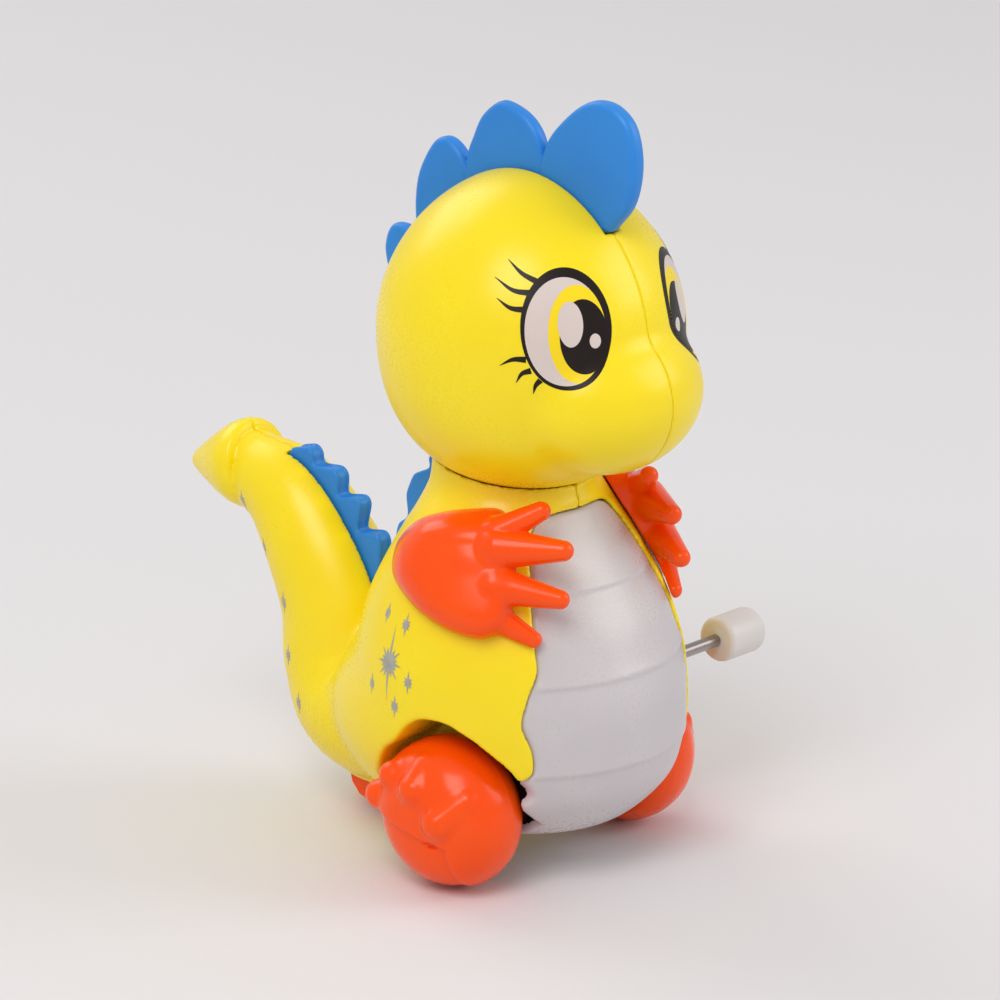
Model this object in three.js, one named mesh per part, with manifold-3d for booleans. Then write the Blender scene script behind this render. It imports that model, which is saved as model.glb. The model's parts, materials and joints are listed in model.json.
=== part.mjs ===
// Wind-up toy dinosaur, millimetres, +Z up, facing -Y.
// It is built about its middle plane X = 0 and then moved so that the
// bottom centre of its bounding box is the origin.
import * as THREE from 'three';
import { mergeVertices } from 'three/addons/utils/BufferGeometryUtils.js';
import Module from 'manifold-3d';

const wasm = await Module();
wasm.setup();

// ---------------------------------------------------------------- dimensions
const WALL = 1.6;            // moulded shell wall
const FIT = 0.3;             // running and assembly gap
const SEAM = 0.05;           // half the gap between shell halves

// Torso sections: [z, centre y, half width x, half depth y]
const TORSO = [
  [5.5, 1.0, 4.0, 4.0], [6.4, 1.2, 11.0, 11.0], [8.5, 1.6, 17.0, 17.0],
  [13.6, 2.5, 23.0, 23.0], [18.5, 3.0, 25.3, 25.2], [24.0, 3.3, 26.1, 26.0],
  [30.0, 3.5, 26.0, 26.0], [35.0, 3.8, 25.5, 25.0], [41.0, 4.1, 24.0, 23.2],
  [46.0, 4.4, 22.2, 20.6], [52.0, 4.6, 19.3, 17.0], [56.0, 4.7, 16.9, 14.4],
  [59.5, 4.8, 14.3, 12.9], [61.5, 4.9, 13.4, 12.5], [64.6, 5.0, 12.8, 12.4],
];
// Tail centre line: [y, z, radius]
const TAIL = [
  [13.0, 19.0, 15.0], [24.0, 18.0, 13.6], [35.2, 18.1, 12.7], [40.2, 23.4, 10.8],
  [41.8, 31.7, 10.0], [46.2, 40.1, 9.2], [52.4, 47.4, 7.9], [61.0, 50.9, 5.9],
];
const TAIL_TIP = [
  [60.4, 51.4, 6.5], [61.3, 51.2, 7.2], [62.6, 51.1, 7.3], [64.2, 50.8, 6.9],
  [66.9, 50.4, 5.6], [70.4, 49.9, 3.7], [73.5, 49.4, 1.9], [75.2, 49.1, 0.4],
];
const HAUNCH = [0, 10.2, 22.5], HAUNCH_R = [23.8, 25.4, 17.3];   // fuller hips
// Scalloped side edge of the belly plate in the front view: [x, z]
const BELLY_EDGE = [
  [0, 58.4], [5.0, 58.3], [8.5, 57.2], [11.0, 54.0], [13.0, 49.5], [14.8, 45.0],
  [16.1, 40.4], [16.7, 36.8], [18.6, 32.6], [19.5, 28.6], [18.5, 24.4],
  [18.3, 21.3], [19.0, 19.4], [17.7, 17.0], [18.3, 15.2], [17.6, 12.5], [15.5, 9.5],
  [12.6, 3.0],
];
const BELLY_RIBS = [47.5, 34.5, 20.5];   // heights of the horizontal steps

const HEAD_C = [0, 1.6, 85.2];           // head centre
const HEAD_R = [23.7, 23.7, 24.7];       // head half sizes
const JAW_C = [0, -13.8, 77.2];          // broad snout and jaw
const JAW_R = [16.4, 13.2, 12.2];
const HEAD_FULL = [1.92, 2.3];           // outline exponents above and below the middle
const CUP_GAP = 0.4;                     // gap between the head and its cup
const NECK_CAP = 57.0;                   // the neck is closed above this height
const NECK_R = 8.0;                      // turning stem of the neck
const FLANGE_R = 10.2, FLANGE_Z = [65.8, 67.2];

const AXLE = [0, 12.0];                  // drive axle [y, z]
const AXLE_R = 1.0;
const WHEEL_R = 12.0, WHEEL_IN = 14.0, WHEEL_OUT = 29.4;
// Wheel arch in the side view: [y, z]
const ARCH = [
  [13.1, 4.0], [13.1, 12.0], [12.4, 16.2], [9.6, 20.9], [7.0, 23.0], [5.6, 24.5], [4.0, 26.3],
  [1.2, 28.0], [-3.0, 28.1], [-5.8, 26.9], [-8.6, 25.1], [-12.6, 20.8], [-12.9, 16.5],
  [-12.7, 12.0], [-12.7, 4.0],
];
const BELLY_WHEEL_R = 12.45;             // the belly plate is cleared for the wheels to this
const WELL_X = 12.9;                     // inner face of a wheel arch
const WIND = [-10.0, 29.2];              // winding shaft [y, z]
const IDLER = [-4.1, 21.1];              // idler pin [y, z]
const MODULE = 0.5;
const TEETH = { winding: 28, idlerSmall: 12, idlerLarge: 30, axle: 10 };
const CASE_X = 7.5, CASE_WALL = 1.1;
const WING_X = 12.2;
const KNOB_R = 3.65, KNOB_X = [31.1, 39.5];
const ROLLER = [28.0, 4.4];              // rear roller axis [y, z]
const ROLLER_R = 4.4, ROLLER_HALF = 3.5;

// ------------------------------------------------------------------ colours
const finish = (color, roughness, metalness = 0) =>
  new THREE.MeshStandardMaterial({ color, roughness, metalness });
const YELLOW = () => finish(0xf9e234, 0.28);
const BLUE = () => finish(0x3f8dd7, 0.4);
const ORANGE = () => finish(0xff5c24, 0.3);
const WHITE = () => finish(0xe4dfdc, 0.35);
const BLACK = () => finish(0x1c1c1d, 0.45);
const STEEL = () => finish(0xb3aca6, 0.32, 1);
const BRASS = () => finish(0xc9a24a, 0.35, 1);
const NATURAL = () => finish(0xe9e4d4, 0.45);

// ------------------------------------------------------------ solid helpers
const solid = (geometry) => {
  const g = geometry.clone();
  g.deleteAttribute('normal');
  g.deleteAttribute('uv');
  const m = mergeVertices(g, 1e-4);
  const p = m.attributes.position.array;
  const t = m.index.array;
  let volume = 0;
  const a = new THREE.Vector3(), b = new THREE.Vector3(), c = new THREE.Vector3();
  const keep = [];
  for (let i = 0; i < t.length; i += 3) {
    if (t[i] === t[i + 1] || t[i + 1] === t[i + 2] || t[i] === t[i + 2]) continue;
    a.fromArray(p, 3 * t[i]); b.fromArray(p, 3 * t[i + 1]); c.fromArray(p, 3 * t[i + 2]);
    volume += a.dot(b.clone().cross(c));
    keep.push(t[i], t[i + 1], t[i + 2]);
  }
  if (volume < 0) {
    for (let i = 0; i < keep.length; i += 3) [keep[i], keep[i + 1]] = [keep[i + 1], keep[i]];
  }
  return new wasm.Manifold(new wasm.Mesh({
    numProp: 3,
    vertProperties: new Float32Array(p),
    triVerts: new Uint32Array(keep),
  }));
};
const geometryOf = (body) => {
  const mesh = body.getMesh();
  const g = new THREE.BufferGeometry();
  g.setAttribute('position', new THREE.BufferAttribute(new Float32Array(mesh.vertProperties), 3));
  g.setIndex(new THREE.BufferAttribute(new Uint32Array(mesh.triVerts), 1));
  g.computeVertexNormals();
  return g;
};
const unite = (...bodies) => bodies.reduce((a, b) => a.add(b));
const box = (x0, x1, y0, y1, z0, z1) =>
  solid(new THREE.BoxGeometry(x1 - x0, y1 - y0, z1 - z0)
    .translate((x0 + x1) / 2, (y0 + y1) / 2, (z0 + z1) / 2));
const rodX = (x0, x1, [y, z], r, seg = 20) =>
  solid(new THREE.CylinderGeometry(r, r, x1 - x0, seg).rotateZ(Math.PI / 2)
    .translate((x0 + x1) / 2, y, z));
const rodZ = (z0, z1, [x, y], r, seg = 36) =>
  solid(new THREE.CylinderGeometry(r, r, z1 - z0, seg).rotateX(Math.PI / 2)
    .translate(x, y, (z0 + z1) / 2));
const ball = ([x, y, z], [rx, ry, rz], w = 28, h = 18) =>
  solid(new THREE.SphereGeometry(1, w, h).rotateX(Math.PI / 2).scale(rx, ry, rz)
    .translate(x, y, z));

// Ball whose outline is fuller or slimmer than an ellipse above and below its middle.
const egg = (centre, size, [above, below], w, h) => {
  const g = new THREE.SphereGeometry(1, w, h).rotateX(Math.PI / 2);
  const p = g.attributes.position;
  const v = new THREE.Vector3();
  for (let i = 0; i < p.count; i++) {
    v.fromBufferAttribute(p, i);
    const n = v.z > 0 ? above : below;
    const k = (Math.hypot(v.x, v.y) ** n + Math.abs(v.z) ** n) ** (1 / n);
    p.setXYZ(i, v.x / k, v.y / k, v.z / k);
  }
  return solid(g.scale(...size).translate(...centre));
};

// Closed loft through rings of equal length, with fan caps.
const loft = (rings) => {
  const n = rings[0].length;
  const pos = rings.flat(2);
  const index = [];
  for (let i = 0; i + 1 < rings.length; i++) {
    for (let j = 0; j < n; j++) {
      const a = i * n + j, b = i * n + (j + 1) % n;
      index.push(a, b, b + n, a, b + n, a + n);
    }
  }
  for (const [k, flip] of [[0, true], [rings.length - 1, false]]) {
    const mid = [0, 1, 2].map((q) => rings[k].reduce((s, p) => s + p[q], 0) / n);
    const at = pos.length / 3;
    pos.push(...mid);
    for (let j = 0; j < n; j++) {
      const a = k * n + j, b = k * n + (j + 1) % n;
      index.push(...(flip ? [at, b, a] : [at, a, b]));
    }
  }
  const g = new THREE.BufferGeometry();
  g.setAttribute('position', new THREE.Float32BufferAttribute(pos, 3));
  g.setIndex(index);
  return solid(g);
};
const angles = (n) => Array.from({ length: n }, (_, i) => (2 * Math.PI * i) / n);
const torso = (inset, seg = 24) => loft(TORSO.map(([z, yc, a, b], i) => {
  const lift = i === 0 ? inset : i === 1 ? inset * 0.9 : i === 2 ? inset * 0.6 : 0;
  const cut = i < 3 ? inset * 0.5 : inset;
  return angles(seg).map((t) =>
    [(a - cut) * Math.cos(t), yc + (b - cut) * Math.sin(t), z + lift]);
}));
// Tube along a line in the middle plane.
const tube = (line, inset = 0, seg = 14) => loft(line.map(([y, z, r], i) => {
  const p = line[Math.max(0, i - 1)], q = line[Math.min(line.length - 1, i + 1)];
  const d = Math.hypot(q[0] - p[0], q[1] - p[1]);
  const [ty, tz] = [(q[0] - p[0]) / d, (q[1] - p[1]) / d];
  return angles(seg).map((t) => [
    (r - inset) * Math.cos(t),
    y - tz * (r - inset) * Math.sin(t),
    z + ty * (r - inset) * Math.sin(t)]);
}));
// Flat plate in a plane of constant X, outline given as [y, z].
const plateX = (outline, x0, x1, bevel = 0) => {
  const shape = new THREE.Shape(outline.map(([y, z]) => new THREE.Vector2(y, z)));
  const g = new THREE.ExtrudeGeometry(shape, {
    depth: x1 - x0 - 2 * bevel, bevelEnabled: bevel > 0, bevelThickness: bevel,
    bevelSize: bevel, bevelOffset: -bevel, bevelSegments: 1, curveSegments: 6 });
  g.applyMatrix4(new THREE.Matrix4().makeBasis(
    new THREE.Vector3(0, 1, 0), new THREE.Vector3(0, 0, 1), new THREE.Vector3(1, 0, 0)));
  return solid(g.translate(x0 + bevel, 0, 0));
};
const smooth = (points, count, closed = false) =>
  new THREE.CatmullRomCurve3(points.map(([y, z]) => new THREE.Vector3(y, z, 0)), closed)
    .getPoints(count).map((p) => [p.x, p.y]);
// Moves an outline outwards by d.
const grow = (outline, d) => {
  const n = outline.length;
  const area = outline.reduce((s, p, i) => {
    const q = outline[(i + 1) % n];
    return s + p[0] * q[1] - q[0] * p[1];
  }, 0);
  const side = Math.sign(area);
  return outline.map((p, i) => {
    const a = outline[(i + n - 1) % n], b = outline[(i + 1) % n];
    const d1 = Math.hypot(p[0] - a[0], p[1] - a[1]), d2 = Math.hypot(b[0] - p[0], b[1] - p[1]);
    const n1 = [(p[1] - a[1]) / d1, -(p[0] - a[0]) / d1];
    const n2 = [(b[1] - p[1]) / d2, -(b[0] - p[0]) / d2];
    const m = [n1[0] + n2[0], n1[1] + n2[1]];
    const k = (d * side) / Math.max(0.35, (m[0] * n1[0] + m[1] * n1[1]));
    return [p[0] + m[0] * k, p[1] + m[1] * k];
  });
};
const mirrorX = (body) => body.mirror([1, 0, 0]);
// Spur gear on an axis along X, straight-flanked teeth with backlash.
const gear = (teeth, x0, x1, [y, z], bore, turn = 0) => {
  const r = (MODULE * teeth) / 2;
  const step = (2 * Math.PI) / teeth;
  const outline = [];
  for (let i = 0; i < teeth; i++) {
    const c = i * step + turn;
    const add = [[-0.36, r - 0.6], [-0.12, r + 0.38], [0.12, r + 0.38], [0.36, r - 0.6]];
    for (const [k, rad] of add) {
      outline.push([y + rad * Math.cos(c + k * step), z + rad * Math.sin(c + k * step)]);
    }
  }
  const disc = plateX(outline, x0, x1);
  return bore > 0 ? disc.subtract(rodX(x0 - 1, x1 + 1, [y, z], bore, 16)) : disc;
};

// -------------------------------------------------------------------- group
const toy = new THREE.Group();
const addPart = (name, body, material) => {
  const mesh = new THREE.Mesh(geometryOf(body), material);
  mesh.name = name;
  toy.add(mesh);
};

// --------------------------------------------------------- blue strip outlines
const arc = (cy, cz, ry, rz, a0, a1, n) => Array.from({ length: n + 1 }, (_, i) => {
  const t = a0 + ((a1 - a0) * i) / n;
  return [cy + ry * Math.cos(t), cz + rz * Math.sin(t)];
});
const CREST = [
  ...smooth([[-15.1, 102.6], [-18.8, 107.2], [-20.1, 113.3], [-18.9, 118.9], [-15.8, 121.7],
    [-12.0, 122.2], [-8.6, 120.8], [-4.9, 117.7], [-2.0, 114.4]], 14),
  ...smooth([[-0.6, 115.2], [2.1, 117.9], [5.6, 119.2], [8.0, 119.0], [11.1, 116.4],
    [13.0, 112.7], [13.8, 110.8]], 9),
  ...smooth([[15.2, 110.7], [16.8, 111.4], [19.2, 111.9], [21.4, 110.3], [24.0, 105.7],
    [24.8, 101.0], [24.8, 97.4]], 8),
  ...smooth([[26.0, 96.4], [28.0, 96.7], [29.8, 96.3], [31.0, 94.4], [31.3, 91.6],
    [30.0, 88.2]], 6),
  ...arc(HEAD_C[1], HEAD_C[2], 21.2, 21.8, 0.17, 2.29, 12),
];
const CREST_HALF = 1.5, SPINE_HALF = 1.5, TAIL_SPINE_HALF = 1.6;
const SLOT_GAP = 0.15;       // beside each blue strip
const NECK_SPINES = [
  [15.4, 61.6], [20.4, 61.4], [22.2, 60.4], [21.6, 58.6],
  [25.2, 57.0], [26.9, 53.4], [26.4, 49.6], [28.6, 48.2], [29.4, 44.6], [28.6, 41.4],
  [25.6, 40.2], [22.6, 43.6], [19.4, 50.0], [16.2, 56.0],
];
const TAIL_SPINES = [
  [33.4, 32.8], [32.5, 35.6], [32.2, 44.2], [33.2, 45.5], [37.4, 44.8], [36.3, 49.3],
  [37.3, 50.6], [41.6, 49.8], [41.2, 53.0], [42.4, 54.3], [46.8, 53.9], [46.9, 55.8],
  [48.2, 56.9], [51.8, 56.0], [53.2, 53.0], [48.4, 47.2], [43.6, 42.0], [39.2, 34.6],
  [36.4, 30.8],
];

// ----------------------------------------------------------------- body shell
const haunch = (inset) => ball(HAUNCH, HAUNCH_R.map((r) => r - inset), 24, 14)
  .intersect(box(-40, 40, -40, 60, TORSO[0][0] + Math.max(inset, 0), 60));
const outerBody = unite(torso(0), haunch(0), tube(TAIL), tube(TAIL_TIP));
const innerBody = unite(torso(WALL), haunch(WALL), tube(TAIL.slice(0, 7), WALL + 0.2));
const beltCutter = (extra) => {
  const half = BELLY_EDGE.map(([x, z]) => [x === 0 ? 0 : x + extra, z]);
  half[0][1] += extra; half[1][1] += extra;
  half[half.length - 1][1] = 3 - extra;
  const ring = [...half, ...half.slice(1).reverse().map(([x, z]) => [-x, z])];
  const shape = new THREE.Shape(ring.map(([x, z]) => new THREE.Vector2(x, z)));
  const g = new THREE.ExtrudeGeometry(shape, { depth: 40 + extra, bevelEnabled: false });
  g.rotateX(Math.PI / 2);
  return solid(g.translate(0, 2.0 + extra, 0));
};
const wheelWell = (side, wall = 0) => {
  const body = plateX(grow(ARCH, wall), WELL_X, 40);
  return side > 0 ? body : mirrorX(body);
};
const wellWall = (side) => wheelWell(side, 1.3).intersect(unite(torso(0), haunch(0)))
  .intersect(box(-40, 40, -18, 30, 12, 40));
const SCREWS = {
  shell_screw_upper: [14.0, 47.0, 15.0],
  shell_screw_lower: [20.0, 25.0, 15.5],
  shell_screw_tail: [50.6, 42.4, 3.0],
};
let shell = outerBody.subtract(innerBody);
// cup that the head sits in, and the turning stem with its retaining flange
const stem = [HEAD_C[0], HEAD_C[1]];
shell = shell.add(outerBody.intersect(box(-20, 20, -20, 30, NECK_CAP, 70)));
shell = shell.subtract(egg(HEAD_C, HEAD_R.map((r) => r + CUP_GAP), HEAD_FULL, 24, 14));
shell = unite(shell, rodZ(NECK_CAP, 67.8, stem, NECK_R, 20),
  rodZ(FLANGE_Z[0], FLANGE_Z[1], stem, FLANGE_R, 20));
shell = shell.subtract(rodZ(50, 70, stem, NECK_R - WALL, 14));
// screw posts
for (const [y, z, x] of Object.values(SCREWS)) {
  shell = shell.add(rodX(-8, x, [y, z], 3.5, 18).intersect(outerBody));
}
shell = unite(shell, wellWall(1), wellWall(-1));
shell = shell.subtract(beltCutter(0.2)).subtract(wheelWell(1)).subtract(wheelWell(-1));
shell = shell.subtract(box(-40, 40, -40, 0, 0, 19.6));
shell = shell.subtract(rodX(10, 40, WIND, 2.2, 12));
shell = shell.subtract(plateX(grow(NECK_SPINES, 0.12), -SPINE_HALF - SLOT_GAP, SPINE_HALF + SLOT_GAP));
shell = shell.subtract(plateX(grow(TAIL_SPINES, 0.12), -TAIL_SPINE_HALF - SLOT_GAP,
  TAIL_SPINE_HALF + SLOT_GAP));
for (const at of Object.values(SCREWS)) {
  shell = shell.subtract(unite(rodX(at[2] - 1.4, 40, [at[0], at[1]], 2.5, 18),
    rodX(-6.4, at[2], [at[0], at[1]], 1.25, 14)));
}

// --------------------------------------------------------------- rear bracket
const BRACKET = [
  [22.6, 9.0], [22.8, 4.0], [24.6, 2.4], [31.0, 1.6], [33.8, 2.4], [35.4, 4.2], [36.6, 9.0],
];
let bracket = plateX(BRACKET, -5.4, 5.4, 0.5);
bracket = bracket.subtract(box(-4.0, 4.0, 23.2, 33.0, -2, 12));
bracket = bracket.subtract(rodX(-9, 9, ROLLER, 1.0, 16));
bracket = bracket.subtract(unite(torso(-FIT), haunch(-FIT), tube(TAIL, -FIT)));
shell = shell.subtract(box(-4.2, 4.2, 23.0, 33.2, -2, 9.4));
shell = shell.subtract(rodX(-30, 30, ROLLER, 1.3, 16));

// --------------------------------------------------------------------- arms
// Outline of the hand, [across, up], in the plane that it faces
const HAND = [
  [16.6, -9.2], [15.9, -5.9], [14.3, -3.6], [12.1, -2.0], [8.6, -0.95], [4.4, -0.5],
  [0.2, -0.5], [-1.6, -2.3], [-2.3, -5.7], [-2.5, -10.3], [-1.9, -15.4], [-0.4, -18.8],
  [2.3, -20.2], [4.8, -20.0], [8.8, -18.5], [12.9, -15.6], [15.9, -11.8],
];
const HAND_FACING = [0.711, -0.640, 0.292], HAND_CENTRE = [0, 8, 55];
const HAND_DEPTH = 4.6;      // how far the hand stands off the torso
const FINGERS = [
  [[16.4, -6.4, 57.4], [12.5, -11.6, 60.9], 2.4, 1.5],
  [[17.2, -7.2, 55.2], [12.6, -16.2, 55.6], 3.3, 1.6],
  [[18.6, -8.0, 49.8], [14.1, -16.9, 48.4], 3.0, 1.5],
  [[19.8, -7.4, 45.6], [16.4, -13.6, 41.9], 2.5, 1.3],
];
const capsule = (a, b, ra, rb) => {
  const pa = new THREE.Vector3(...a), pb = new THREE.Vector3(...b);
  const dir = pb.clone().sub(pa);
  const length = dir.length();
  const profile = [[0, -ra * 0.6], [ra * 0.9, 0], [(ra + rb) / 2, length / 2],
    [rb, length - rb * 0.6], [rb * 0.7, length + rb * 0.4], [0, length + rb * 0.8]];
  const g = new THREE.LatheGeometry(profile.map(([r, h]) => new THREE.Vector2(r, h)), 7);
  g.applyQuaternion(new THREE.Quaternion().setFromUnitVectors(
    new THREE.Vector3(0, 1, 0), dir.normalize()));
  return solid(g.translate(...a));
};
const palm = () => {
  const shape = new THREE.Shape(HAND.map(([u, v]) => new THREE.Vector2(u, v)));
  const g = new THREE.ExtrudeGeometry(shape, { depth: 40, bevelEnabled: false });
  const out = new THREE.Vector3(...HAND_FACING).normalize();
  const across = new THREE.Vector3(-out.y, out.x, 0).normalize();
  g.applyMatrix4(new THREE.Matrix4().makeBasis(across, out.clone().cross(across), out));
  return solid(g.translate(...HAND_CENTRE)).intersect(torso(-HAND_DEPTH));
};
let arm = palm();
for (const [a, b, ra, rb] of FINGERS) arm = arm.add(capsule(a, b, ra, rb));
arm = arm.subtract(torso(-FIT));
const PEG = [3.0, 51.0];
arm = arm.add(rodX(13.2, 21.0, PEG, 2.2, 14));
shell = shell.subtract(rodX(12, 30, PEG, 2.45, 14)).subtract(rodX(-30, -12, PEG, 2.45, 14));

// split on the middle plane; only the piece joined to the outer wall is kept
const largest = (body) => body.decompose().sort((a, b) => b.volume() - a.volume())[0];
const leftHalf = (body) => body.intersect(box(SEAM, 60, -60, 100, -10, 140));
const rightHalf = (body) => body.intersect(box(-60, -SEAM, -60, 100, -10, 140));
addPart('body_shell_left', largest(leftHalf(shell)), YELLOW());
addPart('body_shell_right', largest(rightHalf(shell)), YELLOW());

// --------------------------------------------------------------- belly plate
let belly = torso(0.05).subtract(torso(WALL)).intersect(beltCutter(0));
for (const z of BELLY_RIBS) {
  const step = torso(-0.2).subtract(torso(0.45)).intersect(box(-30, 30, -40, 40, z - 0.5, z));
  belly = belly.subtract(step);
}
belly = belly.subtract(unite(rodX(WELL_X, 40, AXLE, BELLY_WHEEL_R, 36),
  rodX(-40, -WELL_X, AXLE, BELLY_WHEEL_R, 36)));
addPart('belly_plate', largest(belly), WHITE());

addPart('neck_spines', plateX(NECK_SPINES, -SPINE_HALF, SPINE_HALF, 0.4), BLUE());
addPart('tail_spines', plateX(TAIL_SPINES, -TAIL_SPINE_HALF, TAIL_SPINE_HALF, 0.4), BLUE());
addPart('arm_left', arm, ORANGE());
addPart('arm_right', mirrorX(arm), ORANGE());
addPart('roller_bracket', largest(bracket), ORANGE());
addPart('roller_pin', rodX(-5.2, 5.2, ROLLER, 0.8, 14), STEEL());
const roller = solid(new THREE.CylinderGeometry(ROLLER_R / Math.cos(Math.PI / 24),
  ROLLER_R / Math.cos(Math.PI / 24), 2 * ROLLER_HALF, 24).rotateY(Math.PI / 24)
  .rotateZ(Math.PI / 2).translate(0, ...ROLLER));
addPart('rear_roller', roller.subtract(rodX(-9, 9, ROLLER, 1.15, 16)), ORANGE());
for (const [name, [y, z, x]] of Object.entries(SCREWS)) {
  let screw = unite(rodX(x - 1.1, x + 0.3, [y, z], 2.1, 14), rodX(-5.6, x, [y, z], 1.0, 8));
  screw = screw.subtract(box(x - 0.4, x + 1, y - 3, y + 3, z - 0.3, z + 0.3));
  addPart(name, screw, STEEL());
}

// ---------------------------------------------------------------------- head
const headOuter = unite(egg(HEAD_C, HEAD_R, HEAD_FULL, 28, 16), ball(JAW_C, JAW_R, 18, 10));
const headInner = unite(
  egg(HEAD_C, HEAD_R.map((r) => r - WALL), HEAD_FULL, 16, 10),
  ball(JAW_C, JAW_R.map((r) => r - WALL), 12, 6));
let head = headOuter.subtract(headInner);
head = head.add(rodZ(58, FLANGE_Z[0] - 0.4, stem, 13.0, 20).intersect(headOuter));
head = head.subtract(rodZ(50, FLANGE_Z[0] + 0.2, stem, NECK_R + 0.45, 20));
head = head.subtract(plateX(grow(CREST, 0.12), -CREST_HALF - SLOT_GAP, CREST_HALF + SLOT_GAP));
addPart('head_shell_left', largest(leftHalf(head)), YELLOW());
addPart('head_shell_right', largest(rightHalf(head)), YELLOW());
addPart('head_crest', plateX(CREST, -CREST_HALF, CREST_HALF, 0.5), BLUE());

// --------------------------------------------------------------- foot wheels
const WHEEL_PROFILE = [
  [3.2, 14.0], [3.2, 16.6], [9.4, 16.8], [9.6, 15.2], [10.6, 15.5], [11.5, 16.8],
  [12.0, 18.0], [12.0, 21.8], [11.2, 24.4], [8.9, 27.2], [5.3, 28.9],
];
const WHEEL_SEGMENTS = 28;
// toe bumps on the outer face: [y, z] from the axle, X and radius
const TOES = [
  [9.6, 2.0, 25.0, 2.5], [6.2, 6.2, 26.0, 2.6], [0.4, 6.6, 27.6, 2.8], [-5.2, 2.0, 28.0, 2.9],
];
const wheelGeometry = () => {
  const profile = [[0, 14.0], ...WHEEL_PROFILE, [0, WHEEL_OUT]]
    .map(([r, x]) => new THREE.Vector2(r, x));
  const g = new THREE.LatheGeometry(profile, WHEEL_SEGMENTS);
  // lathe axis Y becomes X, with a flat facet of the tread facing straight down
  const k = 1 / Math.cos(Math.PI / WHEEL_SEGMENTS);
  g.rotateY(Math.PI / WHEEL_SEGMENTS).scale(k, 1, k).rotateZ(-Math.PI / 2);
  return g.translate(0, AXLE[0], AXLE[1]);
};
let wheel = solid(wheelGeometry());
for (const [y, z, x, r] of TOES) {
  wheel = wheel.add(ball([x, AXLE[0] + y, AXLE[1] + z], [r, r, r], 10, 7));
}
wheel = wheel.subtract(rodX(10, 22.0, AXLE, AXLE_R + 0.04, 16));
addPart('foot_wheel_left', wheel, ORANGE());
addPart('foot_wheel_right', mirrorX(wheel), ORANGE());
addPart('drive_axle', rodX(-21.5, 21.5, AXLE, AXLE_R, 16), STEEL());

// ---------------------------------------------------------------- clockwork
const meshTurn = (from, to) => Math.atan2(to[1] - from[1], to[0] - from[0]);
const toIdler = meshTurn(AXLE, IDLER), toWind = meshTurn(IDLER, WIND);
const half = (n) => Math.PI / n;
addPart('axle_pinion', gear(TEETH.axle, 2.2, 4.4, AXLE, AXLE_R + 0.04, toIdler), BRASS());
addPart('idler_gear', gear(TEETH.idlerLarge, 2.5, 3.9, IDLER, 1.1,
  toIdler + Math.PI + half(TEETH.idlerLarge)), NATURAL());
addPart('idler_pinion', gear(TEETH.idlerSmall, 0.2, 2.4, IDLER, 1.1, toWind), NATURAL());
addPart('winding_gear', gear(TEETH.winding, 0.5, 1.9, WIND, AXLE_R + 0.04,
  toWind + Math.PI + half(TEETH.winding)), NATURAL());
addPart('winding_shaft', rodX(-7.0, 36.4, WIND, AXLE_R, 16), STEEL());
addPart('idler_pin', rodX(-7.0, 7.0, IDLER, 0.8, 12), STEEL());

const hullOf = (r1, r2, r3) => {
  const pts = [];
  for (const [[y, z], r] of [[WIND, r1], [AXLE, r2], [IDLER, r3]]) {
    for (const t of angles(20)) pts.push([y + r * Math.cos(t), z + r * Math.sin(t)]);
  }
  pts.sort((a, b) => a[0] - b[0] || a[1] - b[1]);
  const cross = (o, a, b) => (a[0] - o[0]) * (b[1] - o[1]) - (a[1] - o[1]) * (b[0] - o[0]);
  const chain = (list) => list.reduce((h, p) => {
    while (h.length > 1 && cross(h[h.length - 2], h[h.length - 1], p) <= 1e-6) h.pop();
    h.push(p);
    return h;
  }, []);
  const low = chain(pts), high = chain([...pts].reverse());
  return [...low.slice(0, -1), ...high.slice(0, -1)];
};
const caseOuter = hullOf(9.0, 4.3, 9.3), caseInner = hullOf(7.9, 3.4, 8.3);
const wing = plateX([[-8.4, 9.6], [-7.2, 9.0], [5.6, 9.0], [6.8, 9.6], [6.8, 17.4], [5.6, 18.6],
  [-7.2, 18.6], [-8.4, 17.4]], CASE_X - 0.5, WING_X);
let caseHalf = plateX(caseOuter, 0.1, CASE_X).subtract(plateX(caseInner, -1, CASE_X - CASE_WALL));
caseHalf = caseHalf.add(wing).intersect(torso(WALL + FIT)).subtract(rodX(-1, 20, AXLE, 1.35, 18));
const caseLeft = caseHalf.subtract(rodX(-1, 20, WIND, 1.35, 18))
  .subtract(rodX(-1, CASE_X - 0.3, IDLER, 0.84, 12));
const caseRight = mirrorX(caseHalf.subtract(rodX(-1, CASE_X - 0.25, WIND, 1.35, 18))
  .subtract(rodX(-1, CASE_X - 0.3, IDLER, 0.84, 12)));
addPart('motor_case_left', largest(caseLeft), BLACK());
addPart('motor_case_right', largest(caseRight), BLACK());

// spiral strip from the winding shaft to the case wall
const springTurns = 4, springSteps = 18 * springTurns, strip = 0.25;
const side = (off) => Array.from({ length: springSteps + 1 }, (_, i) => {
  const t = (2 * Math.PI * i) / 18;
  const r = 1.7 + (5.4 * i) / springSteps + off;
  return [WIND[0] + r * Math.cos(t), WIND[1] + r * Math.sin(t)];
});
addPart('mainspring', plateX([...side(strip / 2), ...side(-strip / 2).reverse()], -5.8, -0.8),
  STEEL());

let knob = solid(new THREE.LatheGeometry([[0, 0], [KNOB_R - 1.0, 0], [KNOB_R - 0.3, 0.3],
  [KNOB_R, 1.1], [KNOB_R, 7.3], [KNOB_R - 0.3, 8.1], [KNOB_R - 1.0, 8.4], [0, 8.4]]
  .map(([r, h]) => new THREE.Vector2(r, h)), 20).rotateZ(-Math.PI / 2)
  .translate(KNOB_X[0], WIND[0], WIND[1]));
knob = knob.subtract(rodX(20, 36.6, WIND, AXLE_R + 0.04, 16));
addPart('winding_knob', knob, WHITE());

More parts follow.
